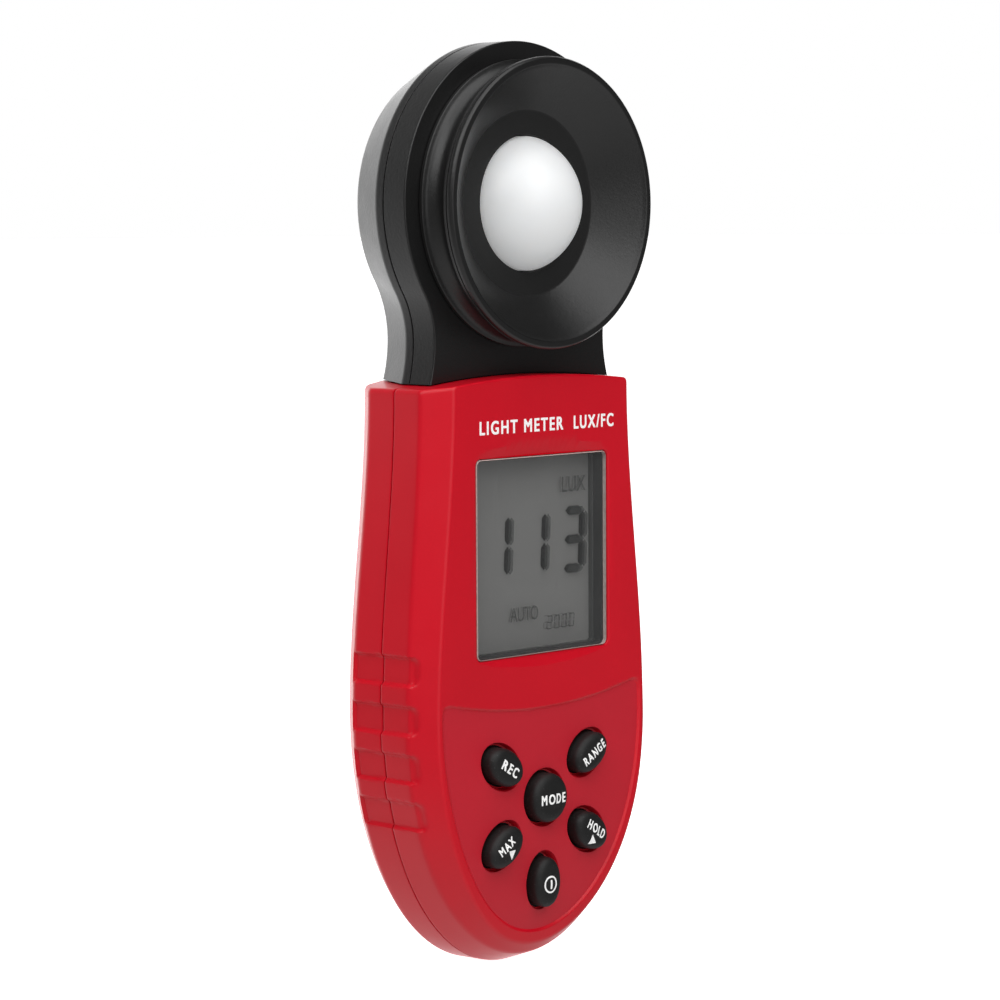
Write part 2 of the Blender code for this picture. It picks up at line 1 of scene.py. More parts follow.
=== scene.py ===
"""Handheld light meter: finished surfaces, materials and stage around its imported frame.

Frame: +Z runs up the meter to the sensor head and the display faces -Y. The modelling functions work in
millimetres, with places given as x, depth, z. A depth is measured from the display face, positive towards
the back.
"""

import math

import bmesh
import bpy
from bpy.props import FloatProperty, FloatVectorProperty, PointerProperty
from mathutils import Matrix, Vector


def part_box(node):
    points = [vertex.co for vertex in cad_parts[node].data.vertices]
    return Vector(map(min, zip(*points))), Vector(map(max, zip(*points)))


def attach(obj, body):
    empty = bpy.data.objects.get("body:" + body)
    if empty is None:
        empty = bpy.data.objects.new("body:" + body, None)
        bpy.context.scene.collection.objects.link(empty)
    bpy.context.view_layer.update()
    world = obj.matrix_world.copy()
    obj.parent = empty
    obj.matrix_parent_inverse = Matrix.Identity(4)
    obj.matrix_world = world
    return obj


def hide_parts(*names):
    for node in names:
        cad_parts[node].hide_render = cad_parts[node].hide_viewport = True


bl_info = {
    "name": "Light Meter Finish",
    "version": (1, 0, 0),
    "blender": (4, 5, 0),
    "location": "3D View > Sidebar > Light Meter",
    "description": "Builds the finished surfaces of a handheld light meter around its frame",
    "category": "Object",
}

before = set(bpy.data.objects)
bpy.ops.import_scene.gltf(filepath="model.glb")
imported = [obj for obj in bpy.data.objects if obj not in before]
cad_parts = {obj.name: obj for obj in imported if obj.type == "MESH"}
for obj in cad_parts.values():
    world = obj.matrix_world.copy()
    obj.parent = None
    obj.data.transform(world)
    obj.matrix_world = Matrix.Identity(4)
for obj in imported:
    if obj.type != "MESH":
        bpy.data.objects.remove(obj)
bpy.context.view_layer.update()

MM = 0.001
GAP = 0.3  # clearance between pieces that touch
WALL = 2.2  # moulded wall


def extent(node):
    """Lowest and highest corner of a frame node, in millimetres."""
    low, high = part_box(node)
    return low / MM, high / MM


def middle(node):
    low, high = extent(node)
    return (low + high) / 2


FACE_Y = extent("front_shell")[0].y  # where the display face lies

# Grip: depth, half-width at the top, widest half-width, height of the widest place, lowest point
FACE = (0.0, 25.3, 30.2, -43.0, -89.4)
FRONT_EDGE = (4.7, 30.2, 34.35, -43.0, -91.8)
SEAM = (11.9, 30.4, 34.9, -40.5, -94.4)
REAR_EDGE = (19.0, 30.6, 35.6, -40.0, -94.7)
REAR_FACET = (23.4, 27.7, 32.7, -40.0, -91.8)  # where the steep chamfer behind the side ends
BACK = (25.0, 20.6, 25.6, -40.0, -84.7)

# Crown of the grip's top: its height, and how far it has dropped at a side offset
GRIP_TOP, GRIP_ARCH, GRIP_ARCH_AT = 27.5, 2.1, 30.0
CORNER = 1.1  # rounding of the grip's upper corners
TOP_STEPS, CORNER_STEPS = 12, 5

# Seams: rounding of a rim, and the lip of a rear shell that reaches into the front shell and closes the seam
RIM_EDGE = 0.12
LIP_REACH, LIP_OUTSIDE, LIP_INSIDE = 1.6, WALL + 0.2, WALL + 1.1

# Finger pads: length is measured round the side, from the crease between front slope and side
PAD_TOPS = (-27.0, -36.8, -46.5, -56.2)
PAD_HEIGHT, PAD_START, PAD_END = 6.4, -2.6, 15.4
PAD_WALL, PAD_SLOPE, PAD_CORNER = 0.85, 1.7, 2.2
PAD_FROM_X = 20.0  # the pads lie further out than this
PAD_SPACING = 0.42  # distance between the loops that carry the pads

# Sensor head and neck
HEAD_Z = middle("diffuser_dome").z
HEAD_R = 32.7
HEAD_FRONT, HEAD_SEAM, TAPER_START, HEAD_BACK = 6.0, 12.1, 14.2, 25.0
TAPER_INSET = 4.7
WAIST_HALF, WAIST_Z, NECK_FLARE = 24.7, 34.8, 1.3
TONGUE_HALF, TONGUE_BOTTOM, TONGUE_TOP = 24.0, 17.0, 30.0
TONGUE_FRONT, TONGUE_REAR = 7.0, 20.0
DOME_R, DOME_BASE, DOME_HEIGHT, DOME_POWER, DOME_WALL = 13.55, 4.2, 10.5, 1.45, 1.8
DOME_SKIRT_END = 7.2

# Display and keys
LENS_LOW, LENS_HIGH = extent("display_lens")
WINDOW_HALF, WINDOW_TOP, WINDOW_BOTTOM = LENS_HIGH.x, LENS_HIGH.z, LENS_LOW.z
WINDOW_CORNER = 1.2
KEY_CLEARANCE = 0.35
KEY_SIZES = {  # half-length and half-height
    "mode": (5.05, 5.05),
    "rec": (5.1, 3.6),
    "range": (5.1, 3.6),
    "max": (5.1, 3.6),
    "hold": (5.1, 3.6),
    "power": (5.2, 3.7),
}


def spot(x, depth, z):
    return Vector((x, FACE_Y + depth, z)) * MM


# --- Shader helpers ---


class Wire:
    """One output of a node. Arithmetic on it adds Math nodes, so a texture is written as an expression."""

    def __init__(self, tree, socket):
        self.tree = tree
        self.socket = socket

    def maths(self, operation, *values):
        return self.tree.node("ShaderNodeMath", {"operation": operation}, dict(enumerate(values)))

    def __add__(self, other):
        return self.maths("ADD", self, other)

    def __radd__(self, other):
        return self.maths("ADD", other, self)

    def __sub__(self, other):
        return self.maths("SUBTRACT", self, other)

    def __rsub__(self, other):
        return self.maths("SUBTRACT", other, self)

    def __mul__(self, other):
        return self.maths("MULTIPLY", self, other)

    def __rmul__(self, other):
        return self.maths("MULTIPLY", other, self)

    def clamped(self):
        return self.maths("MINIMUM", self.maths("MAXIMUM", self, 0.0), 1.0)

    def above(self, level, softness):
        """0 below a level and 1 above it, with a soft step between."""
        return ((self - (level - softness)) * (0.5 / softness)).clamped()


class Tree:
    """A node tree with one method for every kind of node, and short names for the textures used here."""

    def __init__(self, tree):
        self.tree = tree

    def node(self, kind, settings=None, values=None, output=0):
        made = self.tree.nodes.new(kind)
        for name, value in (settings or {}).items():
            setattr(made, name, value)
        for key, value in (values or {}).items():
            self.feed(made.inputs[key], value)
        return Wire(self, made.outputs[output]) if made.outputs else None

    def feed(self, socket, value):
        if isinstance(value, Wire):
            self.tree.links.new(value.socket, socket)
        else:
            socket.default_value = value

    def place(self):
        return self.node("ShaderNodeTexCoord", output="Object")

    def noise(self, size, detail=3.0, rough=0.5, where=None):
        """Cloudy noise from 0 to 1 whose lumps are about that many millimetres across."""
        values = {
            "Vector": where or self.place(),
            "Scale": 1.0 / (size * MM),
            "Detail": detail,
            "Roughness": rough,
        }
        return self.node("ShaderNodeTexNoise", None, values)

    def cells(self, size):
        """Distance from the nearest of scattered points, which lie about that many millimetres apart."""
        values = {"Vector": self.place(), "Scale": 1.0 / (size * MM)}
        return self.node("ShaderNodeTexVoronoi", None, values)

    def mix(self, share, first, second):
        """Blends two colours, given as triples or wires."""
        values = {0: share}
        for index, color in ((6, first), (7, second)):
            values[index] = color if isinstance(color, Wire) else (*color, 1.0)
        return self.node("ShaderNodeMix", {"data_type": "RGBA"}, values, output=2)

    def stretched(self, x, y, z):
        """Object coordinates scaled differently along each axis, for brushed or extruded looks."""
        scaled = {0: self.place(), 1: (x, y, z)}
        return self.node("ShaderNodeVectorMath", {"operation": "MULTIPLY"}, scaled)


class Finish(Tree):
    """A material being made: constants go straight to its shader, and textures through show()."""

    def __init__(self, name, **constants):
        self.material = bpy.data.materials.new(name)
        self.material.use_nodes = True
        super().__init__(self.material.node_tree)
        self.shader = self.tree.nodes["Principled BSDF"]
        for key, value in constants.items():
            self.shader.inputs[key.replace("_", " ").title().replace("Ior", "IOR")].default_value = value

    def show(self, color=None, roughness=None, metallic=None, alpha=None):
        wanted = {"Base Color": color, "Roughness": roughness, "Metallic": metallic, "Alpha": alpha}
        for key, value in wanted.items():
            if isinstance(value, tuple):
                value = (*value, 1.0)
            if value is not None:
                self.feed(self.shader.inputs[key], value)
        return self

    def relief(self, height, distance, strength=1.0):
        """Bumps the surface by a height from 0 to 1 that stands for a distance in millimetres."""
        values = {"Height": height, "Distance": distance * MM, "Strength": strength}
        self.feed(self.shader.inputs["Normal"], self.node("ShaderNodeBump", None, values))
        return self


def shade(color, factor):
    return tuple(min(1.0, channel * factor) for channel in color)


# --- Materials ---


def moulded(name, color, gloss, grain, grain_depth, patchiness=0.12, shine=0.5):
    """Moulded plastic: slight colour drift, polished and matt patches, and the mould's eroded grain."""
    made = Finish(name, specular_ior_level=shine)
    drift = made.noise(16.0, 2.0)
    fleck = made.noise(0.5, 2.0)
    handled = made.noise(7.0, 4.0, 0.6)
    tone = made.mix(drift, shade(color, 1.0 - patchiness / 2), shade(color, 1.0 + patchiness / 2))
    tone = made.mix(fleck.above(0.62, 0.08) * 0.12, tone, shade(color, 1.25))
    made.show(tone, gloss + 0.10 * (handled - 0.5) + 0.06 * (fleck - 0.5))
    texture = 0.65 * made.noise(grain, 2.0) + 0.35 * made.noise(grain * 2.6, 3.0)
    return made.relief(texture, grain_depth).material


def red_abs(colours):
    return moulded("red_abs", colours.red, 0.38, 0.28, 0.012, shine=0.4)


def red_panel(colours):
    return moulded("red_panel", colours.panel, 0.52, 0.22, 0.03, patchiness=0.10)


def black_abs(colours):
    return moulded("black_abs", colours.black, 0.38, 0.55, 0.05, patchiness=0.2)


def black_matt(colours):
    return moulded("black_matt", shade(colours.black, 0.7), 0.62, 0.3, 0.03)


def key_rubber(colours):
    """Soft keypad rubber: matt, with fine dust specks and a dry bloom."""
    made = Finish("key_rubber", specular_ior_level=0.38)
    bloom = made.noise(3.5, 4.0, 0.6)
    dust = made.noise(0.35, 1.0).above(0.72, 0.04)
    tone = made.mix(bloom, shade(colours.rubber, 0.85), shade(colours.rubber, 1.3))
    made.show(made.mix(dust * 0.25, tone, (0.12, 0.12, 0.12)), 0.5 + 0.14 * bloom)
    return made.relief(made.noise(0.4, 3.0), 0.03).material


def print_white(colours):
    """Screen-printed ink: opaque white with slightly uneven coverage, and a painted glow from a faint white
    emission.
    """
    made = Finish("print_white", emission_strength=0.25)
    cover = made.noise(0.4, 3.0)
    made.show(made.mix(cover, shade(colours.ink, 0.93), colours.ink), 0.45 + 0.1 * cover)
    return made.relief(cover, 0.006).material


def diffuser_white(colours):
    """Opal plastic that scatters light below its satin skin, with a painted glow from a faint white emission
    on top.
    """
    made = Finish("diffuser_white", subsurface_weight=1.0, subsurface_scale=0.006, emission_strength=0.16)
    made.shader.inputs["Subsurface Radius"].default_value = (1.0, 0.95, 0.9)
    milk = made.noise(9.0, 2.0)
    skin = made.noise(0.25, 2.0)
    made.show(made.mix(milk, shade(colours.diffuser, 0.975), colours.diffuser), 0.30 + 0.06 * milk)
    return made.relief(skin, 0.004).material


def lens_clear(colours):
    """Clear acrylic window with faint hairline scratches."""
    made = Finish("lens_clear", ior=1.49)
    hair = made.noise(1.6, 5.0, 0.7, made.stretched(1.0, 1.0, 0.12)).above(0.66, 0.02)
    haze = made.noise(11.0, 2.0)
    made.show((0.6, 0.61, 0.61), 0.06 + 0.1 * hair, alpha=0.025 + 0.02 * haze + 0.03 * hair)
    return made.relief(hair, 0.002).material


def lens_edge(colours):
    """The sawn edge of the window: pale like frosted acrylic, and painted brighter as a highlight along the
    chamfer.
    """
    made = Finish("lens_edge")
    chips = made.noise(0.7, 3.0)
    made.show(made.mix(chips, (0.34, 0.26, 0.24), (0.72, 0.62, 0.58)), 0.25 + 0.15 * chips)
    return made.relief(chips, 0.01).material


def lcd_grey(colours):
    """The reflector behind the liquid crystal: grey, softly mottled, with a fine brushed direction."""
    made = Finish("lcd_grey")
    cloud = made.noise(12.0, 2.0)
    brushed = made.noise(0.3, 3.0, 0.6, made.stretched(1.0, 1.0, 0.08))
    tone = made.mix(cloud, shade(colours.display, 0.92), shade(colours.display, 1.06))
    made.show(tone, 0.55 + 0.1 * brushed)
    return made.relief(brushed, 0.004).material


def lcd_ink(name, tone, cover):
    """A darkened segment or its shadow: grey that lets the reflector show through."""
    made = Finish(name)
    cloud = made.noise(0.8, 2.0)
    mottled = made.mix(cloud, shade(tone, 0.9), shade(tone, 1.1))
    made.show(mottled, 0.5 + 0.1 * cloud, alpha=cover + 0.06 * (cloud - 0.5))
    return made.relief(cloud, 0.002).material


def lcd_segment(colours):
    return lcd_ink("lcd_segment", (0.028, 0.030, 0.028), 0.42)


def lcd_shadow(colours):
    return lcd_ink("lcd_shadow", (0.035, 0.035, 0.035), 0.11)


def lcd_edge(colours):
    """The ground edge of the display glass, seen through the window."""
    made = Finish("lcd_edge")
    layers = made.noise(0.5, 1.0, 0.5, made.stretched(0.02, 1.0, 0.02))
    made.show(made.mix(layers, (0.012, 0.013, 0.012), (0.06, 0.062, 0.06)), 0.2 + 0.2 * layers)
    return made.relief(layers, 0.01).material


def metal(name, color, gloss, tarnish):
    """Plated metal: bright, with cloudy tarnish and fine rolling marks."""
    made = Finish(name)
    cloud = made.noise(2.5, 4.0, 0.6)
    rolled = made.noise(0.25, 3.0, 0.5, made.stretched(1.0, 1.0, 0.15))
    worn = cloud.above(0.6, 0.1)
    dulled = gloss + 0.2 * worn + 0.1 * (rolled - 0.5)
    made.show(made.mix(worn * 0.6, color, tarnish), dulled, 1.0 - 0.25 * worn)
    return made.relief(rolled, 0.006).material


def zinc_steel(colours):
    return metal("zinc_steel", (0.52, 0.52, 0.54), 0.30, (0.30, 0.29, 0.28))


def contact_nickel(colours):
    return metal("contact_nickel", (0.62, 0.60, 0.56), 0.22, (0.42, 0.38, 0.32))


def switch_metal(colours):
    return metal("switch_metal", (0.50, 0.50, 0.52), 0.28, (0.33, 0.33, 0.33))


def battery_wrap(colours):
    """Shrink sleeve of a dry cell: pale, with a green band and tiny creases."""
    made = Finish("battery_wrap", coat_weight=0.4, coat_roughness=0.1)
    split = made.node("ShaderNodeSeparateXYZ", None, {0: made.place()}, output=2)
    band = split.above(-42.0 * MM, 0.2 * MM)
    wrinkle = made.noise(1.2, 4.0, 0.7, made.stretched(1.0, 1.0, 0.25))
    tone = made.mix(band, (0.60, 0.61, 0.60), (0.03, 0.22, 0.11))
    made.show(made.mix(wrinkle * 0.2, tone, (0.25, 0.25, 0.25)), 0.28 + 0.1 * wrinkle)
    return made.relief(wrinkle, 0.02).material


def circuit_board(colours):
    """Solder mask over glass weave, with copper lands that show through."""
    made = Finish("circuit_board")
    weave = made.noise(0.6, 1.0, 0.5, made.stretched(1.0, 1.0, 0.4))
    lands = made.cells(2.4).above(0.6 * MM, 0.1 * MM)
    tone = made.mix(weave, (0.010, 0.10, 0.045), (0.016, 0.15, 0.065))
    made.show(made.mix(lands * 0.35, tone, (0.05, 0.26, 0.10)), 0.32 + 0.15 * weave)
    return made.relief(lands, 0.02).material


def chip_black(colours):
    return moulded("chip_black", (0.018, 0.018, 0.02), 0.55, 0.18, 0.02)


def white_nylon(colours):
    return moulded("white_nylon", (0.72, 0.72, 0.68), 0.45, 0.4, 0.01)


def contact_rubber(colours):
    """Striped elastomer that joins the display to the board."""
    made = Finish("contact_rubber")
    stripe = made.noise(0.35, 0.0, 0.5, made.stretched(1.0, 0.02, 0.02))
    made.show(made.mix(stripe.above(0.5, 0.05), (0.05, 0.05, 0.055), (0.55, 0.28, 0.32)), 0.7 + 0.1 * stripe)
    return made.relief(stripe, 0.02).material


def ribbon_grey(colours):
    """Flat lead of side-by-side wires."""
    made = Finish("ribbon_grey")
    wires = made.noise(0.9, 0.0, 0.5, made.stretched(1.0, 0.02, 0.02))
    made.show(made.mix(wires, (0.28, 0.29, 0.31), (0.42, 0.43, 0.45)), 0.5 + 0.1 * wires)
    return made.relief(wires, 0.1).material


def filter_glass(colours):
    """Green colour-correction glass."""
    made = Finish("filter_glass", ior=1.5)
    seed = made.noise(1.5, 3.0)
    made.show(made.mix(seed, (0.10, 0.26, 0.14), (0.14, 0.32, 0.18)), 0.06 + 0.08 * seed)
    return made.relief(seed, 0.003).material


def light_cell(colours):
    """The silicon of the light cell, with its thin-film sheen."""
    made = Finish("light_cell", coat_weight=0.6, coat_roughness=0.05)
    film = made.noise(2.5, 2.0)
    made.show(made.mix(film, (0.012, 0.014, 0.04), (0.03, 0.02, 0.06)), 0.16 + 0.1 * film)
    return made.relief(film, 0.004).material


FINISHES = (
    red_abs, red_panel, black_abs, black_matt, key_rubber, print_white, diffuser_white, lens_clear, lens_edge,
    lcd_grey, lcd_segment, lcd_shadow, lcd_edge, zinc_steel, contact_nickel, switch_metal, battery_wrap,
    circuit_board, chip_black, white_nylon, contact_rubber, ribbon_grey, filter_glass, light_cell,
)
MAKERS = {maker.__name__: maker for maker in FINISHES}
LOOKS = {}


def look(name):
    """The material of that name, made once from the colours in the panel."""
    if name not in LOOKS:
        LOOKS[name] = MAKERS[name](bpy.context.scene.meter_colours)
    return LOOKS[name]


# --- Mesh helpers ---


def smooth(t):
    return t * t * (3 - 2 * t)


def ramp(value, width):
    return smooth(min(1.0, max(0.0, value / width)))


def spread(first, last, steps):
    return [first + (last - first) * i / steps for i in range(steps + 1)]


def bend(start, corner, end, steps):
    """Points of a curve from start to end that is pulled towards a corner."""
    found = []
    for t in spread(0.0, 1.0, steps):
        found.append(tuple(
            (1 - t) ** 2 * a + 2 * t * (1 - t) * b + t * t * c for a, b, c in zip(start, corner, end)
        ))
    return found


def crease(loops, radii, steps=4):
    """Rounds some loops of a stack. radii says, by position, how far each rounding reaches along it."""
    found = []
    for i, loop in enumerate(loops):
        if i not in radii:
            found.append(loop)
            continue
        rounded = []
        for before, corner, after in zip(loops[i - 1], loop, loops[i + 1]):
            ends = []
            for other in (before, after):
                run = math.dist(corner, other)
                share = min(radii[i] / run, 0.49) if run else 0.0
                ends.append(tuple(c + (o - c) * share for c, o in zip(corner, other)))
            rounded.append(bend(ends[0], corner, ends[1], steps))
        found += [list(level) for level in zip(*rounded)]
    return found


def between(near, far, share):
    return [tuple(a + (b - a) * share for a, b in zip(p, q)) for p, q in zip(near, far)]


def refine(loops, spacing, probe):
    """Adds loops so that neighbours lie no further apart than the spacing, measured at one station."""
    found = [loops[0]]
    for near, far in zip(loops, loops[1:]):
        steps = max(1, math.ceil(math.dist(near[probe], far[probe]) / spacing))
        found += [between(near, far, i / steps) for i in range(1, steps + 1)]
    return found


def soften(profile, radii, steps=4):
    """Rounds corners of a profile, given by position."""
    return [loop[0] for loop in crease([[place] for place in profile], radii, steps)]


def ring(data, loop):
    return [data.verts.new(spot(*place)) for place in loop]


def bridge(data, near, far, material=0):
    count = len(near)
    for i in range(count):
        after = (i + 1) % count
        face = data.faces.new((near[i], near[after], far[after], far[i]))
        face.material_index = material


def cap(data, loop, verts, depth_at, material=0, fade=10.0, top=TOP_STEPS):
    """Fills a symmetric outline, which starts at the middle of its top, with rows on a curved surface."""
    count = len(loop)
    bottom = count // 2
    lift = [loop[abs(i)][2] - loop[top][2] for i in range(-top, top + 1)]
    row = [verts[i % count] for i in range(-top, top + 1)]
    rows = [row]
    for k in range(top + 1, bottom):
        half, _, z = loop[k]
        share = max(0.0, 1 - (loop[top][2] - z) / fade) ** 2
        inner = []
        for i in range(1 - top, top):
            height = z + lift[i + top] * share
            inner.append(data.verts.new(spot(half * i / top, depth_at(height), height)))
        rows.append([verts[count - k], *inner, verts[k]])
    for upper, lower in zip(rows, rows[1:]):
        for i in range(2 * top):
            face = data.faces.new((upper[i], upper[i + 1], lower[i + 1], lower[i]))
            face.material_index = material
    for i in range(2 * top):
        face = data.faces.new((rows[-1][i], rows[-1][i + 1], verts[bottom]))
        face.material_index = material


def loft(data, loops, material=0, ends=True):
    """Adds a skin through loops of equal length, with a flat face over each end."""
    rings = [ring(data, loop) for loop in loops]
    for near, far in zip(rings, rings[1:]):
        bridge(data, near, far, material)
    if ends:
        for end in (rings[0], rings[-1]):
            data.faces.new(end).material_index = material
    return rings


def join_circles(data, circles, steps, closed):
    """Joins circles of places with faces. A circle may also be a single place."""
    rings = [ring(data, circle) for circle in circles]
    pairs = list(zip(rings, rings[1:]))
    if closed:
        pairs.append((rings[-1], rings[0]))
    for near, far in pairs:
        for i in range(steps):
            after = (i + 1) % steps
            corners = [near[i % len(near)], near[after % len(near)]]
            corners += [far[after % len(far)], far[i % len(far)]]
            data.faces.new(list(dict.fromkeys(corners)))


def lathe(data, profile, x, z, steps, closed=True):
    """Turns a profile of radius, depth pairs about a line along the depth. A radius of 0 makes a point."""
    circles = []
    for r, depth in profile:
        circles.append(at_depth(oval(r, r, x, z, steps=steps) if r else [(x, z)], depth))
    join_circles(data, circles, steps, closed)


def oval(half_long, half_short, x=0.0, z=0.0, angle=0.0, steps=64):
    found = []
    for i in range(steps):
        turn = 2 * math.pi * i / steps
        along, across = half_long * math.cos(turn), half_short * math.sin(turn)
        found.append((
            x + along * math.cos(angle) - across * math.sin(angle),
            z + along * math.sin(angle) + across * math.cos(angle),
        ))
    return found


def rounded_box(low, high, radius, steps=5):
    """Outline of a rectangle between two corners, with rounded corners, as x, z pairs."""
    (x0, z0), (x1, z1) = low, high
    found = []
    for cx, cz, start in ((x1, z1, 0.0), (x0, z1, 90.0), (x0, z0, 180.0), (x1, z0, 270.0)):
        cx += radius if cx == x0 else -radius
        cz += radius if cz == z0 else -radius
        for turn in spread(start, start + 90.0, steps):
            angle = math.radians(turn)
            found.append((cx + radius * math.cos(angle), cz + radius * math.sin(angle)))
    return found


def at_depth(outline, depth):
    return [(x, depth, z) for x, z in outline]


def block(data, low, high, material=0):
    """Adds a box between two corners, each given as x, depth, z."""
    (x0, d0, z0), (x1, d1, z1) = low, high
    corners = [(x0, z0), (x1, z0), (x1, z1), (x0, z1)]
    loft(data, [at_depth(corners, d) for d in (d0, d1)], material)


def solid(name, data, looks):
    """Turns a bmesh into a named object in the row's frame."""
    bmesh.ops.recalc_face_normals(data, faces=data.faces)
    mesh = bpy.data.meshes.new(name)
    data.to_mesh(mesh)
    data.free()
    for name_of_look in looks:
        mesh.materials.append(look(name_of_look))
    made = bpy.data.objects.new(name, mesh)
    bpy.context.scene.collection.objects.link(made)
    return made


def drawn(name, looks, draw):
    data = bmesh.new()
    draw(data)
    return solid(name, data, looks)


def carve(target, operation, looks, *shapes):
    """Joins or cuts a piece with helper solids, and keeps only the result."""
    helpers = []
    for draw in shapes:
        helper = drawn("helper", looks, draw)
        step = target.modifiers.new(operation, "BOOLEAN")
        step.operation = operation
        step.solver = "EXACT"
        step.material_mode = "TRANSFER"
        step.object = helper
        helpers.append(helper)
    bpy.context.view_layer.update()
    result = bpy.data.meshes.new_from_object(target.evaluated_get(bpy.context.evaluated_depsgraph_get()))
    target.modifiers.clear()
    target.data = result
    for helper in helpers:
        bpy.data.objects.remove(helper, do_unlink=True)
    return target


def place(piece, body, slot, nodes=(), sharp=30.0):
    """Shades a piece, fastens it to a body, and hides the frame nodes it stands for."""
    mesh = piece.data
    mesh.shade_smooth()
    mesh.set_sharp_from_angle(angle=math.radians(sharp))
    weighted = piece.modifiers.new("Even shading", "WEIGHTED_NORMAL")
    weighted.keep_sharp = True
    weighted.weight = 90
    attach(piece, body)
    if nodes:
        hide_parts(*nodes)
    return piece


# --- Grip ---


def crown(x):
    """Height of the grip's arched top at a side offset."""
    return GRIP_TOP - GRIP_ARCH * (x / GRIP_ARCH_AT) ** 2


def half_width(level, z):
    """Half-width of the grip's outline at a height, for one level of depth."""
    _, top, widest, widest_z, bottom = level
    if z >= widest_z:
        start = crown(top)
        return top + (widest - top) * smooth(min(1.0, max(0.0, (start - z) / (start - widest_z))))
    return widest * math.sqrt(max(0.0, 1 - ((widest_z - z) / (widest_z - bottom)) ** 2))


def face_depth(z):
    """The face is flat behind the display, swells slightly under the keys and falls away at the bottom."""
    t = max(0.0, (-35.0 - z) / 54.4)
    return 7.5 * t**3 - 5.1 * t**2


def grip_loop(level, inset=0.0, depth_at=None):
    """The grip's outline at one level, moved in by a wall, with close stations where the finger pads are."""
    own_depth, top, widest, widest_z, bottom = level
    level = (own_depth, top - inset, widest - inset, widest_z, bottom + inset)
    corner = top - inset
    right = [(x, crown(x) - inset) for x in spread(0.0, corner - CORNER, TOP_STEPS)]
    end_z = crown(corner) - inset - CORNER
    end = (half_width(level, end_z), end_z)
    right += bend(right[-1], (corner, crown(corner) - inset), end, CORNER_STEPS)[1:]
    shares = spread(0.0, 0.745, 26)[1:] + spread(0.745, 1.0, 50)[1:]
    for z in (end_z + (widest_z - end_z) * share for share in shares):
        right.append((half_width(level, z), z))
    for turn in spread(0.0, 0.46, 60)[1:] + spread(0.46, math.pi / 2, 36)[1:]:
        right.append((level[2] * math.cos(turn), widest_z - (widest_z - level[4]) * math.sin(turn)))
    right[-1] = (0.0, level[4])
    outline = right + [(-x, z) for x, z in right[-2:0:-1]]
    if depth_at is None:
        return at_depth(outline, own_depth)
    return [(x, depth_at(z), z) for x, z in outline]


SIDE_STATION = TOP_STEPS + CORNER_STEPS + 26  # a place on the side, above the pads


def pad_share(length, z):
    """0 outside the finger pads, 1 on their floors. Length runs round the side from the front crease."""
    for top in PAD_TOPS:
        edge = min(top - z, z - (top - PAD_HEIGHT))
        if edge > 0:
            dip = PAD_CORNER - math.sqrt(max(0.0, PAD_CORNER**2 - max(0.0, PAD_CORNER - edge) ** 2))
            front = ramp(length - PAD_START - dip, PAD_SLOPE)
            return front * ramp(edge, PAD_WALL) * ramp(PAD_END - length, PAD_WALL)
    return 0.0


def length_round(depth):
    """Length round the side at a depth, from the crease between front slope and side."""
    if depth < FRONT_EDGE[0]:
        return (depth - FRONT_EDGE[0]) * 1.33
    return depth - FRONT_EDGE[0] + max(0.0, depth - REAR_EDGE[0]) * 1.1


def press_pads(loops, pad_depth):
    """Moves the side inwards at the finger pads."""
    pressed = [list(loop) for loop in loops]
    for i, loop in enumerate(loops):
        before, after = loops[max(0, i - 1)], loops[min(len(loops) - 1, i + 1)]
        for k, (x, depth, z) in enumerate(loop):
            share = pad_share(length_round(depth), z) if abs(x) > PAD_FROM_X else 0.0
            if share:
                run_x, run_depth = after[k][0] - before[k][0], after[k][1] - before[k][1]
                inward = Vector((run_depth, -run_x)).normalized()
                if inward.x * x > 0:
                    inward = -inward
                move = share * pad_depth
                pressed[i][k] = (x + inward.x * move, depth + inward.y * move, z)
    return pressed


def grip_shell(outer, inner, outer_depth, inner_depth):
    """Draws a moulded shell from loops that run from its closed side to the rim and back inside."""
    def draw(data):
        rings = loft(data, outer + inner, ends=False)
        cap(data, outer[0], rings[0], outer_depth)
        cap(data, inner[-1], rings[-1], inner_depth)
    return draw


def panel_loop(grow, drop):
    """Outline of the keypad panel, grown outwards and lowered below the face."""
    def edge_z(x):
        return -37.2 + grow - 3.5 * (1 - (x / 28.8) ** 2)

    half = FACE[2] - 1.5 + grow
    soft = 2.6
    right = [(x, edge_z(x)) for x in spread(0.0, half - soft, TOP_STEPS)]
    end_z = edge_z(half) - soft
    right += bend(right[-1], (half, edge_z(half)), (half, end_z), CORNER_STEPS)[1:]
    for z in spread(end_z, FACE[3], 4)[1:]:
        right.append((half, z))
    for turn in spread(0.0, math.pi / 2, 48)[1:]:
        inset = 1.5 + 1.4 * math.sin(turn) - grow
        x = (FACE[2] - inset) * math.cos(turn)
        right.append((x, FACE[3] - (FACE[3] - FACE[4] - inset) * math.sin(turn)))
    right[-1] = (0.0, right[-1][1])
    outline = right + [(-x, z) for x, z in right[-2:0:-1]]
    return [(x, face_depth(z) + drop, z) for x, z in outline]


def keypad_panel(data):
    """The sunk panel round the keys: a rounded lip, then a floor with its own finish."""
    drop = bpy.context.scene.meter_sizes.panel_drop / MM
    lip = [(0.0, drop), (0.1, drop * 0.8), (0.4, drop * 0.2), (0.65, -0.02)]
    loops = [panel_loop(grow, depth) for grow, depth in lip]
    top = [(x, -3.0, z) for x, _, z in panel_loop(0.7, 0.0)]
    rings = loft(data, loops + [top], ends=False)
    cap(data, loops[0], rings[0], lambda z: face_depth(z) + drop, material=1, fade=9.0)
    data.faces.new(rings[-1])


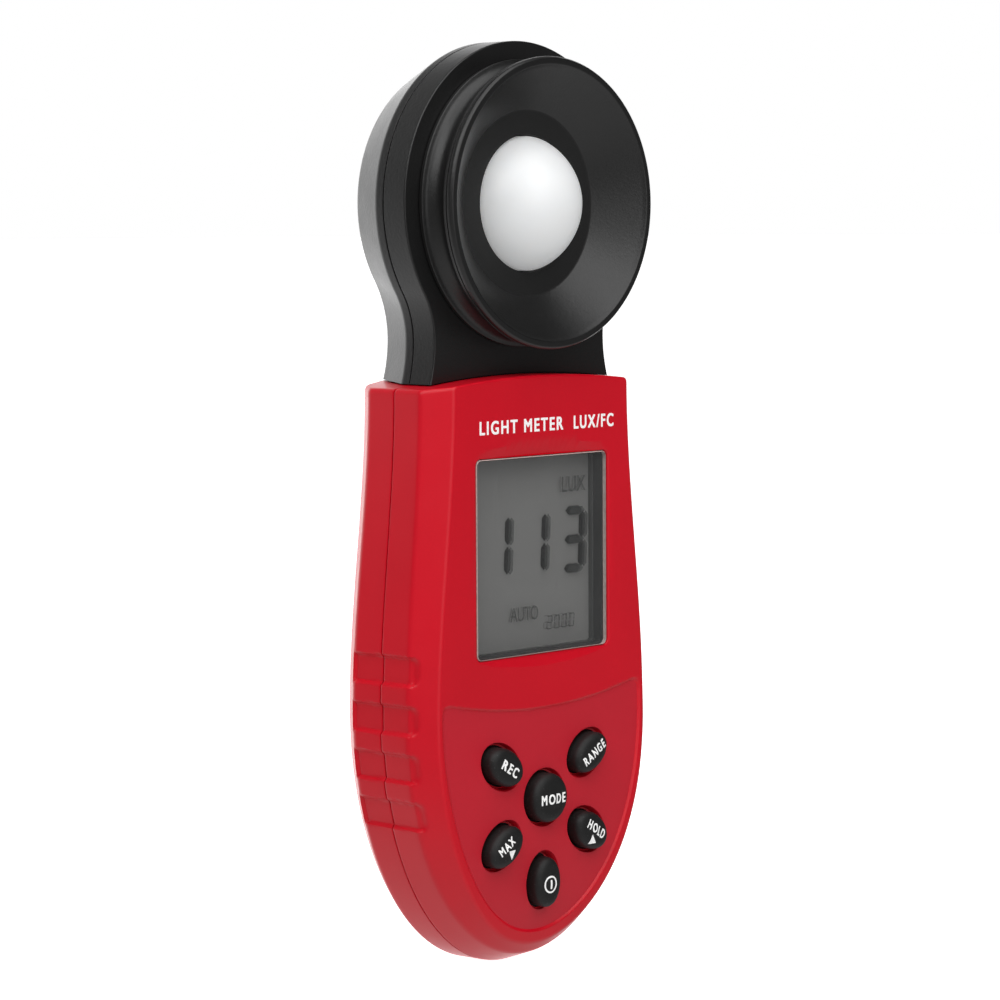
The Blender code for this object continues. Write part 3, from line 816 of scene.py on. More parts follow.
def scoop(data, edge, base, deepest, left, right):
    """A shallow crescent that slopes into the edge of the window, from an arc at height edge(share)."""
    steps = 24
    loops = []
    for share in spread(0.0, 1.0, steps):
        x = left + (right - left) * share
        arc = edge(share)
        depth = deepest * math.sin(math.pi * share) ** 0.5 + 0.02
        toward = -0.05 if arc > base else 0.05
        loops.append([(x, -0.03, arc), (x, depth, base + toward), (x, -1.5, base + toward), (x, -1.5, arc)])
    loft(data, loops)


def upper_scoop(data):
    """The one above the window catches the light from above."""
    def edge(share):
        return WINDOW_TOP + 1.2 + 1.9 * math.sin(math.pi * share) ** 0.8

    scoop(data, edge, WINDOW_TOP + 0.2, 0.8, -WINDOW_HALF + 0.4, WINDOW_HALF)


def lower_scoop(data):
    def edge(share):
        return WINDOW_BOTTOM - 0.35 - 2.2 * math.sin(math.pi * share) ** 0.7

    scoop(data, edge, WINDOW_BOTTOM - 0.2, 0.45, -WINDOW_HALF + 0.4, WINDOW_HALF - 0.4)


def window_outline(grow):
    low = (-WINDOW_HALF - grow, WINDOW_BOTTOM - grow)
    high = (WINDOW_HALF + grow, WINDOW_TOP + grow)
    return rounded_box(low, high, WINDOW_CORNER + grow)


def window_seat(data):
    """The lens recess, with a soft lip round it."""
    steps = [(0.85, -1.2), (0.6, -0.01), (0.32, 0.1), (0.14, 0.42), (0.12, WALL + 1.5)]
    loft(data, [at_depth(window_outline(grow), depth) for grow, depth in steps])


def key_place(name):
    """Centre and turn of a key. Each outer key points at the middle one."""
    here, centre = middle("key_" + name), middle("key_mode")
    turn = 0.0 if name == "mode" else math.atan2(centre.z - here.z, centre.x - here.x)
    return here.x, here.z, turn


def key_holes(data):
    """A sloped, softly lipped rim round each key, then a straight hole."""
    for name, (half_long, half_short) in KEY_SIZES.items():
        x, z, turn = key_place(name)
        floor = face_depth(z)
        rim = [(1.9, -1.5), (1.3, 0.0), (1.12, 0.42), (0.98, 0.55), (0.6, 1.75)]
        rim += [(KEY_CLEARANCE, 1.82), (KEY_CLEARANCE, WALL + 1.5)]
        loft(data, [
            at_depth(oval(half_long + more, half_short + more, x, z, turn), floor + depth)
            for more, depth in rim
        ])


def neck_mouth(data):
    half = TONGUE_HALF + GAP
    block(data, (-half, TONGUE_FRONT - GAP, 15.0), (half, TONGUE_REAR + GAP, 40.0))


def with_pads(outer, radii):
    """Rounds a shell's outer loops and presses the finger pads into them."""
    sizes = bpy.context.scene.meter_sizes
    outer = crease(outer, radii, 5)
    return outer[:1] + press_pads(refine(outer[1:], PAD_SPACING, SIDE_STATION), sizes.pad_depth / MM)


def with_rim(outer, inner):
    """The outer loops with their last one rounded towards the first inner one."""
    return outer[:-2] + crease(outer[-2:] + inner[:1], {1: RIM_EDGE}, 2)[:-1]


def front_shell():
    sizes = bpy.context.scene.meter_sizes
    rim = SEAM[0] - GAP / 2
    outer = [
        grip_loop(FACE, 2.2, face_depth),
        grip_loop(FACE, 0.0, face_depth),
        grip_loop(FRONT_EDGE),
        grip_loop(SEAM, depth_at=lambda z: rim),
    ]
    outer = with_pads(outer, {1: sizes.face_edge / MM, 2: sizes.side_edge / MM})
    inner = [
        grip_loop(SEAM, WALL, lambda z: rim),
        grip_loop(FRONT_EDGE, WALL, lambda z: 6.4),
        grip_loop(FACE, WALL, lambda z: WALL + face_depth(z)),
    ]
    shape = grip_shell(with_rim(outer, inner), inner, face_depth, lambda z: WALL + face_depth(z))
    looks = ["red_abs", "red_panel"]
    piece = drawn("shell_front", looks, shape)
    hollows = [keypad_panel, upper_scoop, lower_scoop, window_seat, key_holes, neck_mouth]
    carve(piece, "DIFFERENCE", looks, *hollows)
    place(piece, "meter", "red_abs", ["front_shell"])


# --- Stage ---

WHITE = (1.0, 1.0, 1.0, 1.0)
FLOOR_REACH = 30.0  # metres from the middle to each edge

# Camera: its direction from the meter in degrees, the place it looks at and its distance in millimetres
CAMERA_AZIMUTH, CAMERA_ELEVATION, CAMERA_ROLL = 45.676, 4.906, -0.324
CAMERA_TARGET, CAMERA_DISTANCE, CAMERA_LENS = (-12.62, -9.35, 2.87), 642.08, 115.5

# Soft lights: place, width and height in metres, power in watts
SOFTBOXES = {
    "box_front": ((-0.35, -1.4, 0.35), 1.0, 1.0, 4.4),
    "box_left": ((-1.1, -0.4, 1.0), 1.0, 1.0, 10.2),
    "box_top": ((0.0, -0.25, 1.4), 1.2, 1.0, 7.5),
    "box_top_front": ((-0.1, -1.0, 1.0), 1.2, 0.8, 7.9),
}

# How strongly the room glows in each direction
BEHIND_GLOW, BEYOND_GLOW, BELOW_GLOW, FLOOR_GLOW = 1.55, 1.9, 0.5, 0.25


def softbox(name, place_at, width, height, power):
    """A soft light panel that faces the meter."""
    light = bpy.data.lights.new(name, "AREA")
    light.shape = "RECTANGLE"
    light.size = width
    light.size_y = height
    light.energy = power
    lamp = bpy.data.objects.new(name, light)
    lamp.location = place_at
    lamp.rotation_euler = (-lamp.location).to_track_quat("-Z", "Y").to_euler()
    bpy.context.scene.collection.objects.link(lamp)


def studio_floor():
    """A large pale floor under the meter."""
    data = bmesh.new()
    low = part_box("rear_shell")[0].z
    corners = [(x * FLOOR_REACH, y * FLOOR_REACH) for x, y in ((-1, -1), (1, -1), (1, 1), (-1, 1))]
    data.faces.new([data.verts.new((x, y, low)) for x, y in corners])
    mesh = bpy.data.meshes.new("floor")
    data.to_mesh(mesh)
    data.free()
    floor = bpy.data.objects.new("floor", mesh)
    bpy.context.scene.collection.objects.link(floor)
    made = Finish("floor_white", roughness=0.9)
    tone = made.noise(400.0, 2.0)
    made.show(made.mix(tone, (0.94, 0.94, 0.94), (0.96, 0.96, 0.96)))
    made.shader.inputs["Emission Color"].default_value = WHITE
    made.shader.inputs["Emission Strength"].default_value = 1.0
    mesh.materials.append(made.material)
    floor.visible_diffuse = False
    floor.visible_glossy = False
    floor.visible_shadow = False


def studio_world():
    """White behind the meter, and a dimmer room in front of it that shows in glossy surfaces."""
    world = bpy.data.worlds.new("studio")
    bpy.context.scene.world = world
    world.use_nodes = True
    tree = Tree(world.node_tree)
    world.node_tree.nodes.clear()
    towards = tree.node("ShaderNodeTexCoord", output="Generated")
    axes = [tree.node("ShaderNodeSeparateXYZ", None, {0: towards}, output=i) for i in range(3)]
    behind = axes[1].above(0.8, 0.15)
    down = axes[2] * -1.0
    below = BELOW_GLOW * down.above(0.2, 0.4) + FLOOR_GLOW * down.above(0.55, 0.2)
    beyond = (0.71 * axes[0] + 0.70 * axes[1]).above(0.85, 0.1)
    glow = BEHIND_GLOW * behind + BEYOND_GLOW * beyond + below
    camera = tree.node("ShaderNodeLightPath", output="Is Camera Ray")
    light = tree.node("ShaderNodeBackground", None, {0: WHITE, 1: glow})
    plain = tree.node("ShaderNodeBackground", None, {0: WHITE, 1: 1.0})
    mixed = tree.node("ShaderNodeMixShader", None, {0: camera, 1: light, 2: plain})
    tree.node("ShaderNodeOutputWorld", None, {0: mixed})


def studio_camera():
    camera = bpy.data.cameras.new("camera")
    camera.lens = CAMERA_LENS
    camera.clip_start = 0.01
    holder = bpy.data.objects.new("camera", camera)
    bpy.context.scene.collection.objects.link(holder)
    azimuth, elevation = math.radians(CAMERA_AZIMUTH), math.radians(CAMERA_ELEVATION)
    level = math.cos(elevation)
    back = Vector((-math.sin(azimuth) * level, -math.cos(azimuth) * level, math.sin(elevation)))
    target = Vector(CAMERA_TARGET) * MM
    holder.matrix_world = (
        Matrix.Translation(target + back * CAMERA_DISTANCE * MM)
        @ back.to_track_quat("Z", "Y").to_matrix().to_4x4()
        @ Matrix.Rotation(math.radians(CAMERA_ROLL), 4, "Z")
    )
    bpy.context.scene.camera = holder


def stage():
    studio_floor()
    studio_world()
    studio_camera()
    for name, values in SOFTBOXES.items():
        softbox(name, *values)
    bpy.context.scene.view_settings.view_transform = "Standard"


# --- Rear of the grip ---

BAY_HALF, BAY_TOP, BAY_BOTTOM, BAY_WALL = 17.5, -18.0, -69.5, 1.4
BAY_CORNER = 0.9
TAB_X, TAB_HALF = 5.7, 1.7
DOOR_INNER = 23.1
PAST_BACK = BACK[0] + 3.0  # cuts through the back reach this far

# Screws: where a tip and the seat of a head lie, for the case and for the sensor head
CASE_TIP, CASE_SEAT = 5.6, 16.0
HEAD_TIP, HEAD_SEAT = 8.8, 18.5
COUNTERBORE_R, SCREW_HOLE_R = 2.8, 1.4


def screw_places(kind, count):
    return [middle("%s_screw_%d" % (kind, number)) for number in range(1, count + 1)]


def bay_block(data):
    outer = BAY_HALF + BAY_WALL
    block(data, (-outer, 10.6, BAY_BOTTOM - 3.2), (outer, 24.0, BAY_TOP + BAY_WALL))


def bay_cut(data):
    """The battery bay, with a small bevel at its mouth."""
    loops = []
    for grow, depth in ((0.0, SEAM[0]), (0.0, BACK[0] - 0.35), (0.35, BACK[0]), (0.35, BACK[0] + 2.0)):
        low, high = (-BAY_HALF - grow, BAY_BOTTOM - grow), (BAY_HALF + grow, BAY_TOP + grow)
        loops.append(at_depth(rounded_box(low, high, BAY_CORNER + grow), depth))
    loft(data, loops)


def tab_slots(data):
    for side in (-1, 1):
        block(data, (side * TAB_X - TAB_HALF - GAP, 21.2, BAY_BOTTOM - 1.9),
              (side * TAB_X + TAB_HALF + GAP, 23.0, BAY_BOTTOM + 0.5))


def thumb_dip(data):
    """A hollow above the door where a thumbnail gets under its upper edge."""
    steps = [(10.6, BACK[0] + 1.0)]
    for half, share in ((9.0, 0.4), (7.0, 0.72), (4.0, 0.93), (0.1, 1.0)):
        steps.append((half, BACK[0] - 1.3 * share))
    loft(data, [at_depth(oval(half, half * 0.5, 0.0, BAY_TOP), depth) for half, depth in steps])


def counterbores(data):
    profile = [
        (0, 10.0), (SCREW_HOLE_R, 10.0), (SCREW_HOLE_R, CASE_SEAT), (COUNTERBORE_R, CASE_SEAT),
        (COUNTERBORE_R, 23.0), (COUNTERBORE_R + 1.5, PAST_BACK), (0, PAST_BACK),
    ]
    for here in screw_places("case", 4):
        lathe(data, profile, here.x, here.z, 48, closed=False)


def lip_steps(rim, end):
    """Wall insets and depths of the lip that closes a seam, from the rim forwards and back inside."""
    front = rim - LIP_REACH
    return [(LIP_OUTSIDE, rim), (LIP_OUTSIDE, front), (LIP_INSIDE, front), (LIP_INSIDE, rim + end)]


def rear_shell():
    rim = SEAM[0] + GAP / 2
    outer = [
        grip_loop(BACK, 4.0, lambda z: BACK[0]),
        grip_loop(BACK),
        grip_loop(REAR_FACET),
        grip_loop(REAR_EDGE),
        grip_loop(SEAM, depth_at=lambda z: rim),
    ]
    outer = with_pads(outer, {1: 1.6, 2: 1.4, 3: bpy.context.scene.meter_sizes.side_edge / MM})
    inner = [grip_loop(SEAM, inset, lambda z, depth=depth: depth) for inset, depth in lip_steps(rim, 1.5)]
    inner += [grip_loop(REAR_EDGE, WALL, lambda z: 17.8), grip_loop(BACK, WALL, lambda z: BACK[0] - WALL)]
    shape = grip_shell(with_rim(outer, inner), inner, lambda z: BACK[0], lambda z: BACK[0] - WALL)
    piece = drawn("shell_rear", ["red_abs"], shape)
    carve(piece, "UNION", ["red_abs"], bay_block)
    carve(piece, "DIFFERENCE", ["red_abs"], bay_cut, tab_slots, thumb_dip, counterbores, neck_mouth)
    place(piece, "meter", "red_abs", ["rear_shell"])


def door_plate(data):
    half, low, high = BAY_HALF - GAP, BAY_BOTTOM + GAP, BAY_TOP - GAP
    steps = [(0.0, DOOR_INNER), (0.0, BACK[0] - 0.35), (-0.1, BACK[0] - 0.1), (-0.35, BACK[0])]
    loft(data, [
        at_depth(rounded_box((-half - grow, low - grow), (half + grow, high + grow), 0.8), depth)
        for grow, depth in steps
    ])


def door_tabs(data):
    low = BAY_BOTTOM + GAP
    for side in (-1, 1):
        x0, x1 = side * TAB_X - TAB_HALF, side * TAB_X + TAB_HALF
        profile = [
            (21.7, low - 1.6), (22.7, low - 1.6), (22.7, low + 0.3),
            (23.6, low + 0.3), (23.6, low + 2.0), (21.7, low + 2.0),
        ]
        loft(data, [[(x, depth, z) for depth, z in profile] for x in (x0, x1)])


def door_grips(data):
    """Five shallow furrows and an arrow above them that shows which way the lid opens."""
    for i in range(5):
        z = BAY_TOP - 7.5 - 1.7 * i
        half = 7.5 - 0.55 * i
        outline = rounded_box((-half, z - 0.45), (half, z + 0.45), 0.44)
        loft(data, [at_depth(outline, BACK[0] - 0.45), at_depth(outline, BACK[0] + 1.0)])
    arrow = [(-2.2, BAY_TOP - 18.6), (2.2, BAY_TOP - 18.6), (0.0, BAY_TOP - 22.2)]
    loft(data, [at_depth(arrow, BACK[0] - 0.35), at_depth(arrow, BACK[0] + 1.0)])


def battery_door():
    piece = drawn("door_lid", ["red_abs"], door_plate)
    carve(piece, "UNION", ["red_abs"], door_tabs)
    carve(piece, "DIFFERENCE", ["red_abs"], door_grips)
    place(piece, "bay_door", "red_abs", ["battery_door"])


# --- Sensor head ---


def head_loop(inset, depth, wall=0.0):
    """Outline of the head and neck: a circle, a hollow curve into the waist, and a slightly flared foot."""
    radius = HEAD_R - inset - wall
    foot_half = WAIST_HALF + NECK_FLARE - inset - wall
    waist = WAIST_HALF - inset - wall
    drop = HEAD_Z - WAIST_Z
    hollow = (WAIST_HALF**2 + drop**2 - HEAD_R**2) / (2 * (HEAD_R - WAIST_HALF))
    centre_x = WAIST_HALF + hollow
    hollow += inset + wall
    lean = math.atan2(drop, centre_x)
    right = [(0.0, HEAD_Z + radius)]
    for turn in spread(math.pi / 2, -lean, 72)[1:]:
        right.append((radius * math.cos(turn), HEAD_Z + radius * math.sin(turn)))
    for turn in spread(lean, 0.0, 20)[1:]:
        right.append((centre_x - hollow * math.cos(turn), WAIST_Z + hollow * math.sin(turn)))
    foot_z = crown(foot_half) + GAP + wall
    for share in spread(0.0, 1.0, 6)[1:]:
        right.append((waist + NECK_FLARE * share**2, WAIST_Z + (foot_z - WAIST_Z) * share))
    right += [(x, crown(x) + GAP + wall) for x in spread(foot_half, 0.0, 10)[1:]]
    outline = right + [(-x, z) for x, z in right[-2:0:-1]]
    return at_depth(outline, depth)


def tongue(front, rear, half):
    return lambda data: block(data, (-half, front, TONGUE_BOTTOM), (half, rear, TONGUE_TOP))


def lead_channel(data):
    block(data, (-7.0, 10.6, 12.0), (7.0, 13.5, 42.0))


def sensor_hole(data):
    lathe(data, [(0, 4.0), (DOME_R + GAP, 4.0), (DOME_R + GAP, 9.0), (0, 9.0)], 0.0, HEAD_Z, 96, closed=False)


def head_counterbores(data):
    mouth = COUNTERBORE_R + 0.3
    profile = [
        (0, 10.0), (SCREW_HOLE_R, 10.0), (SCREW_HOLE_R, HEAD_SEAT), (COUNTERBORE_R, HEAD_SEAT),
        (COUNTERBORE_R, HEAD_BACK - 0.3), (mouth, HEAD_BACK), (mouth, PAST_BACK), (0, PAST_BACK),
    ]
    for here in screw_places("head", 3):
        lathe(data, profile, here.x, here.z, 48, closed=False)


def head_posts(front, rear):
    def draw(data):
        for here in screw_places("head", 3):
            lathe(data, [(0, front), (3.6, front), (3.6, rear), (0, rear)], here.x, here.z, 48, closed=False)
    return draw


def head_shells():
    front_rim, rear_rim = HEAD_SEAM - GAP / 2, HEAD_SEAM + GAP / 2
    edge = bpy.context.scene.meter_sizes.head_edge / MM
    outer = [
        head_loop(3.0, HEAD_FRONT),
        head_loop(0.0, HEAD_FRONT),
        head_loop(0.0, front_rim),
        head_loop(WALL, front_rim),
    ]
    outer = crease(outer, {1: edge, 2: RIM_EDGE}, 5)
    inner = [head_loop(0.0, front_rim, WALL), head_loop(0.0, HEAD_FRONT + WALL, WALL)]
    piece = drawn("head_front", ["black_abs"], lambda data: loft(data, outer[:-1] + inner))
    carve(piece, "UNION", ["black_abs"], tongue(TONGUE_FRONT, front_rim, TONGUE_HALF))
    carve(piece, "DIFFERENCE", ["black_abs"], sensor_hole, lead_channel)
    place(piece, "meter", "black_abs", ["head_front_shell"])

    outer = [
        head_loop(TAPER_INSET + 4.0, HEAD_BACK),
        head_loop(TAPER_INSET, HEAD_BACK),
        head_loop(0.0, TAPER_START),
        head_loop(0.0, rear_rim),
        head_loop(WALL, rear_rim),
    ]
    outer = crease(outer, {1: 1.5, 2: 0.45, 3: RIM_EDGE}, 5)
    inner = [head_loop(0.0, depth, wall) for wall, depth in lip_steps(rear_rim, 0.8)]
    inner += [head_loop(0.0, TAPER_START, WALL), head_loop(TAPER_INSET - 0.9, HEAD_BACK - WALL, WALL)]
    piece = drawn("head_rear", ["black_abs"], lambda data: loft(data, outer[:-1] + inner))
    carve(piece, "UNION", ["black_abs"], tongue(rear_rim, TONGUE_REAR, TONGUE_HALF - 4.0),
          head_posts(rear_rim, HEAD_BACK - 1.0))
    carve(piece, "DIFFERENCE", ["black_abs"], head_counterbores, lead_channel)
    place(piece, "meter", "black_abs", ["head_rear_shell"])


def bezel_ring():
    """The raised collar: a thin base, a hollow waist, a double step, a rounded lip and the conical dish."""
    rear = HEAD_FRONT - GAP
    hole = DOME_R + GAP
    floor_depth, floor_start = 3.9, 18.75
    corners = [  # radius, depth and rounding
        (29.0, rear, 0),
        (29.0, 4.95, 0.15),
        (27.9, 4.6, 0.8),
        (26.6, 2.6, 2.0),
        (27.0, 0.4, 1.2),
        (28.65, -0.75, 0.15),
        (28.9, -0.95, 0),
        (28.9, -1.35, 0),
        (29.2, -1.5, 0.08),
        (29.2, -1.85, 0),
        (29.0, -1.95, 0),
        (29.0, -2.1, 0),
        (29.3, -2.25, 0.08),
        (29.3, -3.0, 0.25),
        (28.9, -3.6, 0.22),
        (27.75, -3.6, 0.2),
        (27.2, -3.0, 0.35),
        (floor_start, floor_depth, 0.25),
        (hole, floor_depth, 0),
        (hole, rear, 0),
    ]
    rounding = {i: corner[2] for i, corner in enumerate(corners) if corner[2]}
    outline = soften([corner[:2] for corner in corners], rounding, 6)

    def draw(data):
        lathe(data, outline, 0.0, HEAD_Z, 192)
        for face in data.faces:
            radii = [math.hypot(vert.co.x, vert.co.z - HEAD_Z * MM) / MM for vert in face.verts]
            if max(radii) < floor_start + 0.15:
                face.material_index = 1

    piece = drawn("bezel_ring", ["black_abs", "black_matt"], draw)
    place(piece, "meter", "black_abs", ["bezel_cup"])


def dome_profile(radius, height, steps):
    found = []
    for turn in spread(0.0, math.pi / 2, steps):
        found.append((radius * math.sin(turn), DOME_BASE - height * math.cos(turn) ** DOME_POWER))
    found[0] = (0, DOME_BASE - height)
    return found


def diffuser():
    """The opal dome, open behind, with a skirt that passes through the head's front wall."""
    outside = dome_profile(DOME_R, DOME_HEIGHT, 40)
    inside = dome_profile(DOME_R - DOME_WALL, DOME_HEIGHT - DOME_WALL, 12)
    skirt = [(DOME_R, DOME_SKIRT_END), (DOME_R - DOME_WALL, DOME_SKIRT_END)]

    def draw(data):
        lathe(data, outside + skirt + inside[::-1], 0.0, HEAD_Z, 128, closed=False)

    place(drawn("dome", ["diffuser_white"], draw), "meter", "diffuser_white", ["diffuser_dome"])


# --- Display ---

LENS_FRONT, LENS_BACK, LENS_BEVEL = 0.15, 1.2, 0.16
GLASS_FRONT, REFLECTOR = 3.6, 4.75
MASK_BACK = 7.2


def window_lens():
    """The clear window with a chamfer round it, pale like frosted acrylic and painted brighter as a
    highlight.
    """
    steps = [(0.0, LENS_BACK), (0.0, LENS_FRONT + LENS_BEVEL), (-LENS_BEVEL, LENS_FRONT)]

    def draw(data):
        loft(data, [at_depth(window_outline(grow), depth) for grow, depth in steps])
        for face in data.faces:
            if len(face.verts) == 4:
                face.material_index = 1

    piece = drawn("window_lens", ["lens_clear", "lens_edge"], draw)
    place(piece, "meter", "lens_clear", ["display_lens"], sharp=20.0)


def display_mask():
    """The dark well between the window and the display, stepped where the glass starts."""
    half, top, bottom = WINDOW_HALF + 2.5, WINDOW_TOP + 3.3, WINDOW_BOTTOM - 3.0
    outside = rounded_box((-half, bottom), (half, top), 1.0)
    shoulder, lens_seat = WALL + 0.4, LENS_BACK + 0.03
    inside = [(0.0, shoulder), (0.0, lens_seat), (-0.35, lens_seat)]
    inside += [(-0.45, 2.3), (-0.3, 2.4), (-0.3, MASK_BACK)]

    def draw(data):
        loops = [at_depth(outside, MASK_BACK), at_depth(outside, shoulder)]
        loops += [at_depth(window_outline(grow), depth) for grow, depth in inside]
        rings = loft(data, loops, ends=False)
        bridge(data, rings[-1], rings[0])

    place(drawn("display_mask", ["black_matt"], draw), "meter", "black_abs", ["lcd_frame"])


def display_glass():
    """The display cell: a grey reflector with the ground edge of its front glass round it."""
    def draw(data):
        edge = [(-0.32, 6.2), (-0.32, GLASS_FRONT), (-0.6, GLASS_FRONT + 0.1), (-0.6, REFLECTOR)]
        loft(data, [at_depth(window_outline(grow), depth) for grow, depth in edge], material=1)
        for face in data.faces:
            if len(face.verts) > 4 and face.calc_center_median().y < (FACE_Y + REFLECTOR + 0.1) * MM:
                face.material_index = 0

    place(drawn("display_cell", ["lcd_grey", "lcd_edge"], draw), "meter", "lcd_grey", ["lcd_glass"])


def bar(data, start, end, width, depth, thick=0.04):
    """A display segment: a bar with pointed ends between two x, z places."""
    run = Vector((end[0] - start[0], end[1] - start[1]))
    along = run.normalized()
    side = Vector((-along.y, along.x)) * width / 2
    a, b = Vector(start), Vector(end)
    tip = along * width / 2
    outline = [a, a + tip + side, b - tip + side, b, b - tip - side, a + tip - side]
    loft(data, [[(p.x, d, p.y) for p in outline] for d in (depth, depth + thick)])


# The seven bars of a figure, from end to end, and which of them each figure shows
BARS = (
    ((0, 1), (1, 1)),
    ((0, 0.5), (0, 1)),
    ((1, 0.5), (1, 1)),
    ((0, 0.5), (1, 0.5)),
    ((0, 0), (0, 0.5)),
    ((1, 0), (1, 0.5)),
    ((0, 0), (1, 0)),
)
FIGURES = {"0": "1110111", "1": "0010010", "2": "1011101", "3": "1011011"}
FIGURE_DEPTH = GLASS_FRONT + 0.15


def figure(data, digit, left, bottom, width, height, stroke, slant, depth):
    """A seven-bar figure with a slight forward lean."""
    gap = stroke * 0.12

    def at(x, z):
        return (left + x * width + slant * (z - 0.5) * height, bottom + z * height)

    for shown, (start, end) in zip(FIGURES[digit], BARS):
        if shown == "1":
            a, b = Vector(at(*start)), Vector(at(*end))
            step = (b - a).normalized() * gap
            bar(data, a + step, b - step, stroke, depth)


def reading(depth, grow):
    """Draws the large reading at one depth, and the small range figures where it isn't grown."""
    def draw(data):
        for digit, left in (("1", -11.0), ("1", -0.2), ("3", 11.0)):
            figure(data, digit, left, -13.2, 5.3, 12.0, 1.55 + grow, 0.045, depth)
        for i, digit in enumerate("" if grow else "2000"):
            figure(data, digit, 4.9 + 2.2 * i, -25.1, 1.45, 2.6, 0.27, 0.06, depth)
    return draw


def figures():
    """The reading in the glass, and its shadow on the reflector in layers that soften its edge."""
    place(drawn("display_figures", ["lcd_segment"], reading(FIGURE_DEPTH, 0.0)), "meter", "lcd_grey")
    for number, grow in enumerate((0.0, 0.25, 0.5)):
        shape = reading(REFLECTOR - 0.06 - 0.07 * number, grow)
        place(drawn("display_shadow_%d" % number, ["lcd_shadow"], shape), "meter", "lcd_grey")
    words = (("LUX", 9.5, 2.8, 7.1, 3.2), ("AUTO", -5.9, -22.8, 8.1, 2.9))
    for number, depth, finish in ((0, FIGURE_DEPTH, "lcd_segment"), (1, GLASS_FRONT + 0.75, "lcd_shadow")):
        for word, left, low, width, height in words:
            flat = letters(word, left, low, width, height, 0.0, lambda x, z, depth=depth: depth)
            piece = solid("display_%s_%d" % (word.lower(), number), flat, [finish])
            place(piece, "meter", "lcd_grey")


# --- Lettering ---


def split_long(data, reach):
    """Cuts up long edges, so that a flat shape can follow a curved surface."""
    bmesh.ops.triangulate(data, faces=data.faces)
    for _ in range(3):
        long = [edge for edge in data.edges if edge.calc_length() > reach]
        bmesh.ops.subdivide_edges(data, edges=long, cuts=1)
        bmesh.ops.triangulate(data, faces=data.faces)


def letters(text, left, low, width, height, weight, depth_at, turn=None, thick=0.05):
    """Raised lettering fitted to a width and a height, laid on a surface.

    turn carries it to its place on a key. The weight widens the strokes, and more so the upright ones, which
    keeps the inside of an M or an A open.
    """
    curve = bpy.data.curves.new("lettering", "FONT")
    curve.body = text
    curve.size = 10.0
    curve.space_character = 1.0 + weight * 0.6
    curve.extrude = 1.0
    curve.resolution_u = 6
    holder = bpy.data.objects.new("lettering", curve)
    bpy.context.scene.collection.objects.link(holder)
    bpy.context.view_layer.update()
    mesh = bpy.data.meshes.new_from_object(holder.evaluated_get(bpy.context.evaluated_depsgraph_get()))
    bpy.data.objects.remove(holder, do_unlink=True)
    data = bmesh.new()
    data.from_mesh(mesh)
    bpy.data.meshes.remove(mesh)
    bmesh.ops.remove_doubles(data, verts=data.verts, dist=1e-4)
    split_long(data, 0.8)
    strokes = data.faces[:]
    for number in range(4 if weight else 0):
        copied = bmesh.ops.duplicate(data, geom=strokes)["geom"]
        moved = [item for item in copied if isinstance(item, bmesh.types.BMVert)]
        across, up = (number % 2 - 0.5) * weight, (number // 2 - 0.5) * weight * 0.8
        bmesh.ops.translate(data, verts=moved, vec=(across, up, 0.1 * number + 0.1))
    xs = [vert.co.x for vert in data.verts]
    ys = [vert.co.y for vert in data.verts]
    first_x, first_y = min(xs), min(ys)
    x_scale, y_scale = width / (max(xs) - first_x), height / (max(ys) - first_y)
    for vert in data.verts:
        x = left + (vert.co.x - first_x) * x_scale
        z = low + (vert.co.y - first_y) * y_scale
        if turn is not None:
            x, z = turn(x, z)
        vert.co = spot(x, depth_at(x, z) - thick * vert.co.z, z)
    return data


def face_print():
    """The name of the instrument and its two units, printed above the display."""
    for name, text, left, width in (("title", "LIGHT METER", -18.3, 24.2), ("units", "LUX/FC", 9.1, 12.0)):
        data = letters(text, left, 16.05, width, 2.75, 0.45, lambda x, z: 0.0)
        place(solid("print_" + name, data, ["print_white"]), "meter", "red_abs")


# --- Keys ---

KEY_EDGE, KEY_SIDE_TOP, KEY_EDGE_HEIGHT, KEY_CROWN = 2.3, 0.35, 1.75, 0.3
KEY_SHOULDER = 2.4  # how square the rolled edge is; 2 is a plain ellipse


def rolled(share):
    """Height of a rolled edge, from 0 at the side to 1 where the top starts."""
    return max(0.0, 1 - (1 - share) ** KEY_SHOULDER) ** (1 / KEY_SHOULDER)


def key_proud(half_long, half_short, u, v):
    """How far a key's top stands above the panel at a place on it: a rolled edge, then a shallow crown."""
    def share(inset):
        return math.hypot(u / (half_long - inset), v / (half_short - inset))

    top = KEY_SIDE_TOP + KEY_EDGE_HEIGHT
    if share(KEY_EDGE) <= 1:
        return top + KEY_CROWN * math.cos(math.pi / 2 * share(KEY_EDGE)) ** 2
    low, high = 0.0, KEY_EDGE
    for _ in range(20):
        inset = (low + high) / 2
        low, high = (inset, high) if share(inset) < 1 else (low, inset)
    return KEY_SIDE_TOP + KEY_EDGE_HEIGHT * rolled(low / KEY_EDGE)


